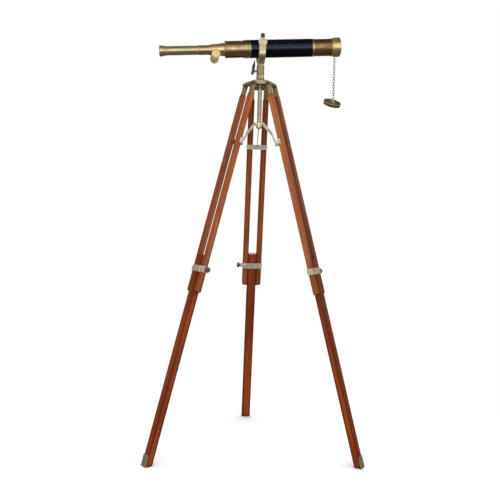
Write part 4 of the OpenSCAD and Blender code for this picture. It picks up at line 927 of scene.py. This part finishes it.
SCREWS = make_head_tree("slotted_screws", METALS["dark_steel"][0], slotted=True)
BRASS_SCREWS = make_head_tree("brass_screws", METALS["spreader_brass"][0], slotted=True)
PINS = make_head_tree("pin_heads", METALS["ferrule_brass"][1], slotted=False)
print("head trees:", SCREWS.tree.name, BRASS_SCREWS.tree.name, PINS.tree.name)

# %% Screws and pins on the legs
PLATE = 1.6 * MM                       # a band or bracket stands this far off a rail
BRACKET_INSET = 5 * MM                 # a bracket's side screw, from the rail's near face
SOCKET_HALF = 8.2 * MM                 # a ferrule, from its middle to its face
PIN_RISE = 16 * MM                     # a pin, from the ferrule's lower end
SHOE_DROPS = (9 * MM, 25 * MM)         # a shoe's screws, from its upper end
BAND_HEAD, SHOE_HEAD = {"Head Radius": 2.6 * MM}, {"Head Radius": 2.2 * MM}
PIN_HEAD = {"Head Radius": 1.5 * MM, "Head Height": 0.6 * MM}

def both_faces(rail_x, reach, height):
    """Points in a leg's frame on the near and far face of a fitting, over both rails."""
    return [(Vector((side * rail_x, face * reach, height)), Vector((0, face, 0)))
            for side in (-1, 1) for face in (-1, 1)]

def fasten(leg, name, tree, spots, body, slot, **sizes):
    """Grows heads on spots that are given in a leg's frame, each with the way it faces."""
    matrix = LEG_FRAMES[leg]
    turn = matrix.to_3x3()
    return grown(tree, leg + "_" + name, [matrix @ spot for spot, _ in spots],
                 [turn @ facing for _, facing in spots], sizes, body, matrix, slot)

heads = []
for leg in LEGS:
    rail_low, rail_high = local_box(leg + "_rail_plain_side")
    rail_x = (rail_low.x + rail_high.x) / 2
    low, high = local_box(leg + "_clamp_band")
    spots = both_faces(rail_x, rail_high.y + PLATE, (low.z + high.z) / 2)
    heads.append(fasten(leg, "band_screws", BRASS_SCREWS, spots, leg + "_leg", "spreader_brass",
                        **BAND_HEAD))
    low, high = local_box(leg + "_brace_bracket")
    middle = (low.z + high.z) / 2
    spots = [(Vector((side * rail_x, rail_low.y - PLATE, middle)), Vector((0, -1, 0))) for side in (-1, 1)]
    spots += [(Vector((side * high.x, rail_low.y + BRACKET_INSET, middle)), Vector((side, 0, 0)))
              for side in (-1, 1)]
    heads.append(fasten(leg, "bracket_screws", BRASS_SCREWS, spots, leg + "_leg", "spreader_brass"))
    low, high = local_box(leg + "_ferrules")
    spots = both_faces(rail_x, SOCKET_HALF, low.z + PIN_RISE)
    heads.append(fasten(leg, "ferrule_pins", PINS, spots, leg + "_leg", "ferrule_brass", **PIN_HEAD))
    low, high = local_box(leg + "_foot_shoe")
    spots = [(Vector((0, high.y, high.z - drop)), Vector((0, 1, 0))) for drop in SHOE_DROPS]
    heads.append(fasten(leg, "shoe_screws", SCREWS, spots, leg + "_extension", "dark_steel", **SHOE_HEAD))
print("fasteners:", sum(len(piece.data.polygons) for piece in heads), "faces")

# %% [markdown]
# ## The leather's seam
# A flat piece of leather becomes a sleeve by one hand-sewn seam, which goes underneath, where it
# is least seen. Waxed thread crosses the joint in short slanting stitches. The tree sets one
# stitch on each point of a line under the barrel.

# %% Stitches
SLANT = math.radians(28)

def make_stitch_tree(material):
    t = Tree("seam_stitches", {"Thread": 0.45 * MM, "Stitch": 4.2 * MM})
    thread, stitch = t.given["Thread"], t.given["Stitch"]
    ball = t.add("GeometryNodeMeshUVSphere", {"Segments": 8, "Rings": 8, "Radius": 1.0}).outputs["Mesh"]
    half = t.math("MULTIPLY", stitch, 0.5)
    size = t.add("ShaderNodeCombineXYZ", {"X": thread, "Y": half, "Z": thread}).outputs[0]
    slanted = t.add("GeometryNodeTransform", {
        "Geometry": ball, "Scale": size, "Rotation": (0, 0, SLANT)}).outputs[0]
    return t.finish(slanted, t.facing("Z"), material)

STITCHES = make_stitch_tree(THREAD)
low, high = local_box("leather_cover")
pitch, inset = 5 * MM, 4 * MM
stations = [low.x + inset + pitch * i for i in range(int((high.x - low.x - 2 * inset) / pitch) + 1)]
under = BARREL.to_3x3() @ Vector((0, 0, -1))
grown(STITCHES, "leather_seam", [BARREL @ Vector((x, 0, low.z)) for x in stations],
      [under] * len(stations), {}, "telescope", BARREL, "black_leather")
print("stitches:", len(stations))

# %% [markdown]
# ## Chain
# A chain is one link, repeated, with every second one turned by a quarter. The link is a round
# wire swept along a long round loop. Each stretch of chain that swings by itself is one mesh.

# %% Chain links
WIRE, INNER_LENGTH, INNER_WIDTH = 1.5 * MM, 9.1 * MM, 5.2 * MM
LINK_PLAY = 0.3 * MM                   # how far a link is from pulling tight on the next
LINK_COUNTS = (3, 5, 3, 4)             # in each stretch, from the top

def make_chain_tree(material):
    t = Tree("chain", {"Wire": WIRE, "Inner Length": INNER_LENGTH, "Inner Width": INNER_WIDTH})
    wire = t.given["Wire"]
    width = t.math("ADD", t.given["Inner Width"], wire)
    length = t.math("ADD", t.given["Inner Length"], wire)
    loop = t.add("GeometryNodeCurvePrimitiveQuadrilateral", {
        "Width": width, "Height": length}).outputs["Curve"]
    rounded = t.add("GeometryNodeFilletCurve", {
        "Curve": loop, "Count": 8, "Radius": t.math("MULTIPLY", width, 0.4999)}, mode="POLY").outputs[0]
    section = t.add("GeometryNodeCurvePrimitiveCircle", {
        "Resolution": 12, "Radius": t.math("MULTIPLY", wire, 0.5)}).outputs["Curve"]
    link = t.add("GeometryNodeCurveToMesh", {"Curve": rounded, "Profile Curve": section}).outputs["Mesh"]
    link = t.add("GeometryNodeTransform", {"Geometry": link, "Rotation": (math.pi / 2, 0, 0)}).outputs[0]
    return t.finish(link, t.facing("X"), material)

CHAIN = make_chain_tree(METALS["chain_metal"][0])
hung = 0
for stretch, count in enumerate(LINK_COUNTS, 1):
    node = f"chain_links_{stretch}"
    low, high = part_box(node)
    top = high.z - INNER_LENGTH / 2 - WIRE
    middle = (low + high) / 2
    points = [Vector((middle.x, middle.y, top - i * (INNER_LENGTH - LINK_PLAY))) for i in range(count)]
    facings = [Vector((1, 0, 0)) if (hung + i) % 2 == 0 else Vector((0, 1, 0)) for i in range(count)]
    hung += count
    links = grown(CHAIN, node + "_finished", points, facings, {}, body_of[node], STAND, slot_of[node])
    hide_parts(node)
print("links:", hung)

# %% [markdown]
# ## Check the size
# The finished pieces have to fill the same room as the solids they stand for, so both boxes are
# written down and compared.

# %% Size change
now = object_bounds()
changes = [(b - a) / MM for old, new in zip(cad_box, now) for a, b in zip(old, new)]
print("size change in mm:", [round(change, 2) for change in changes])
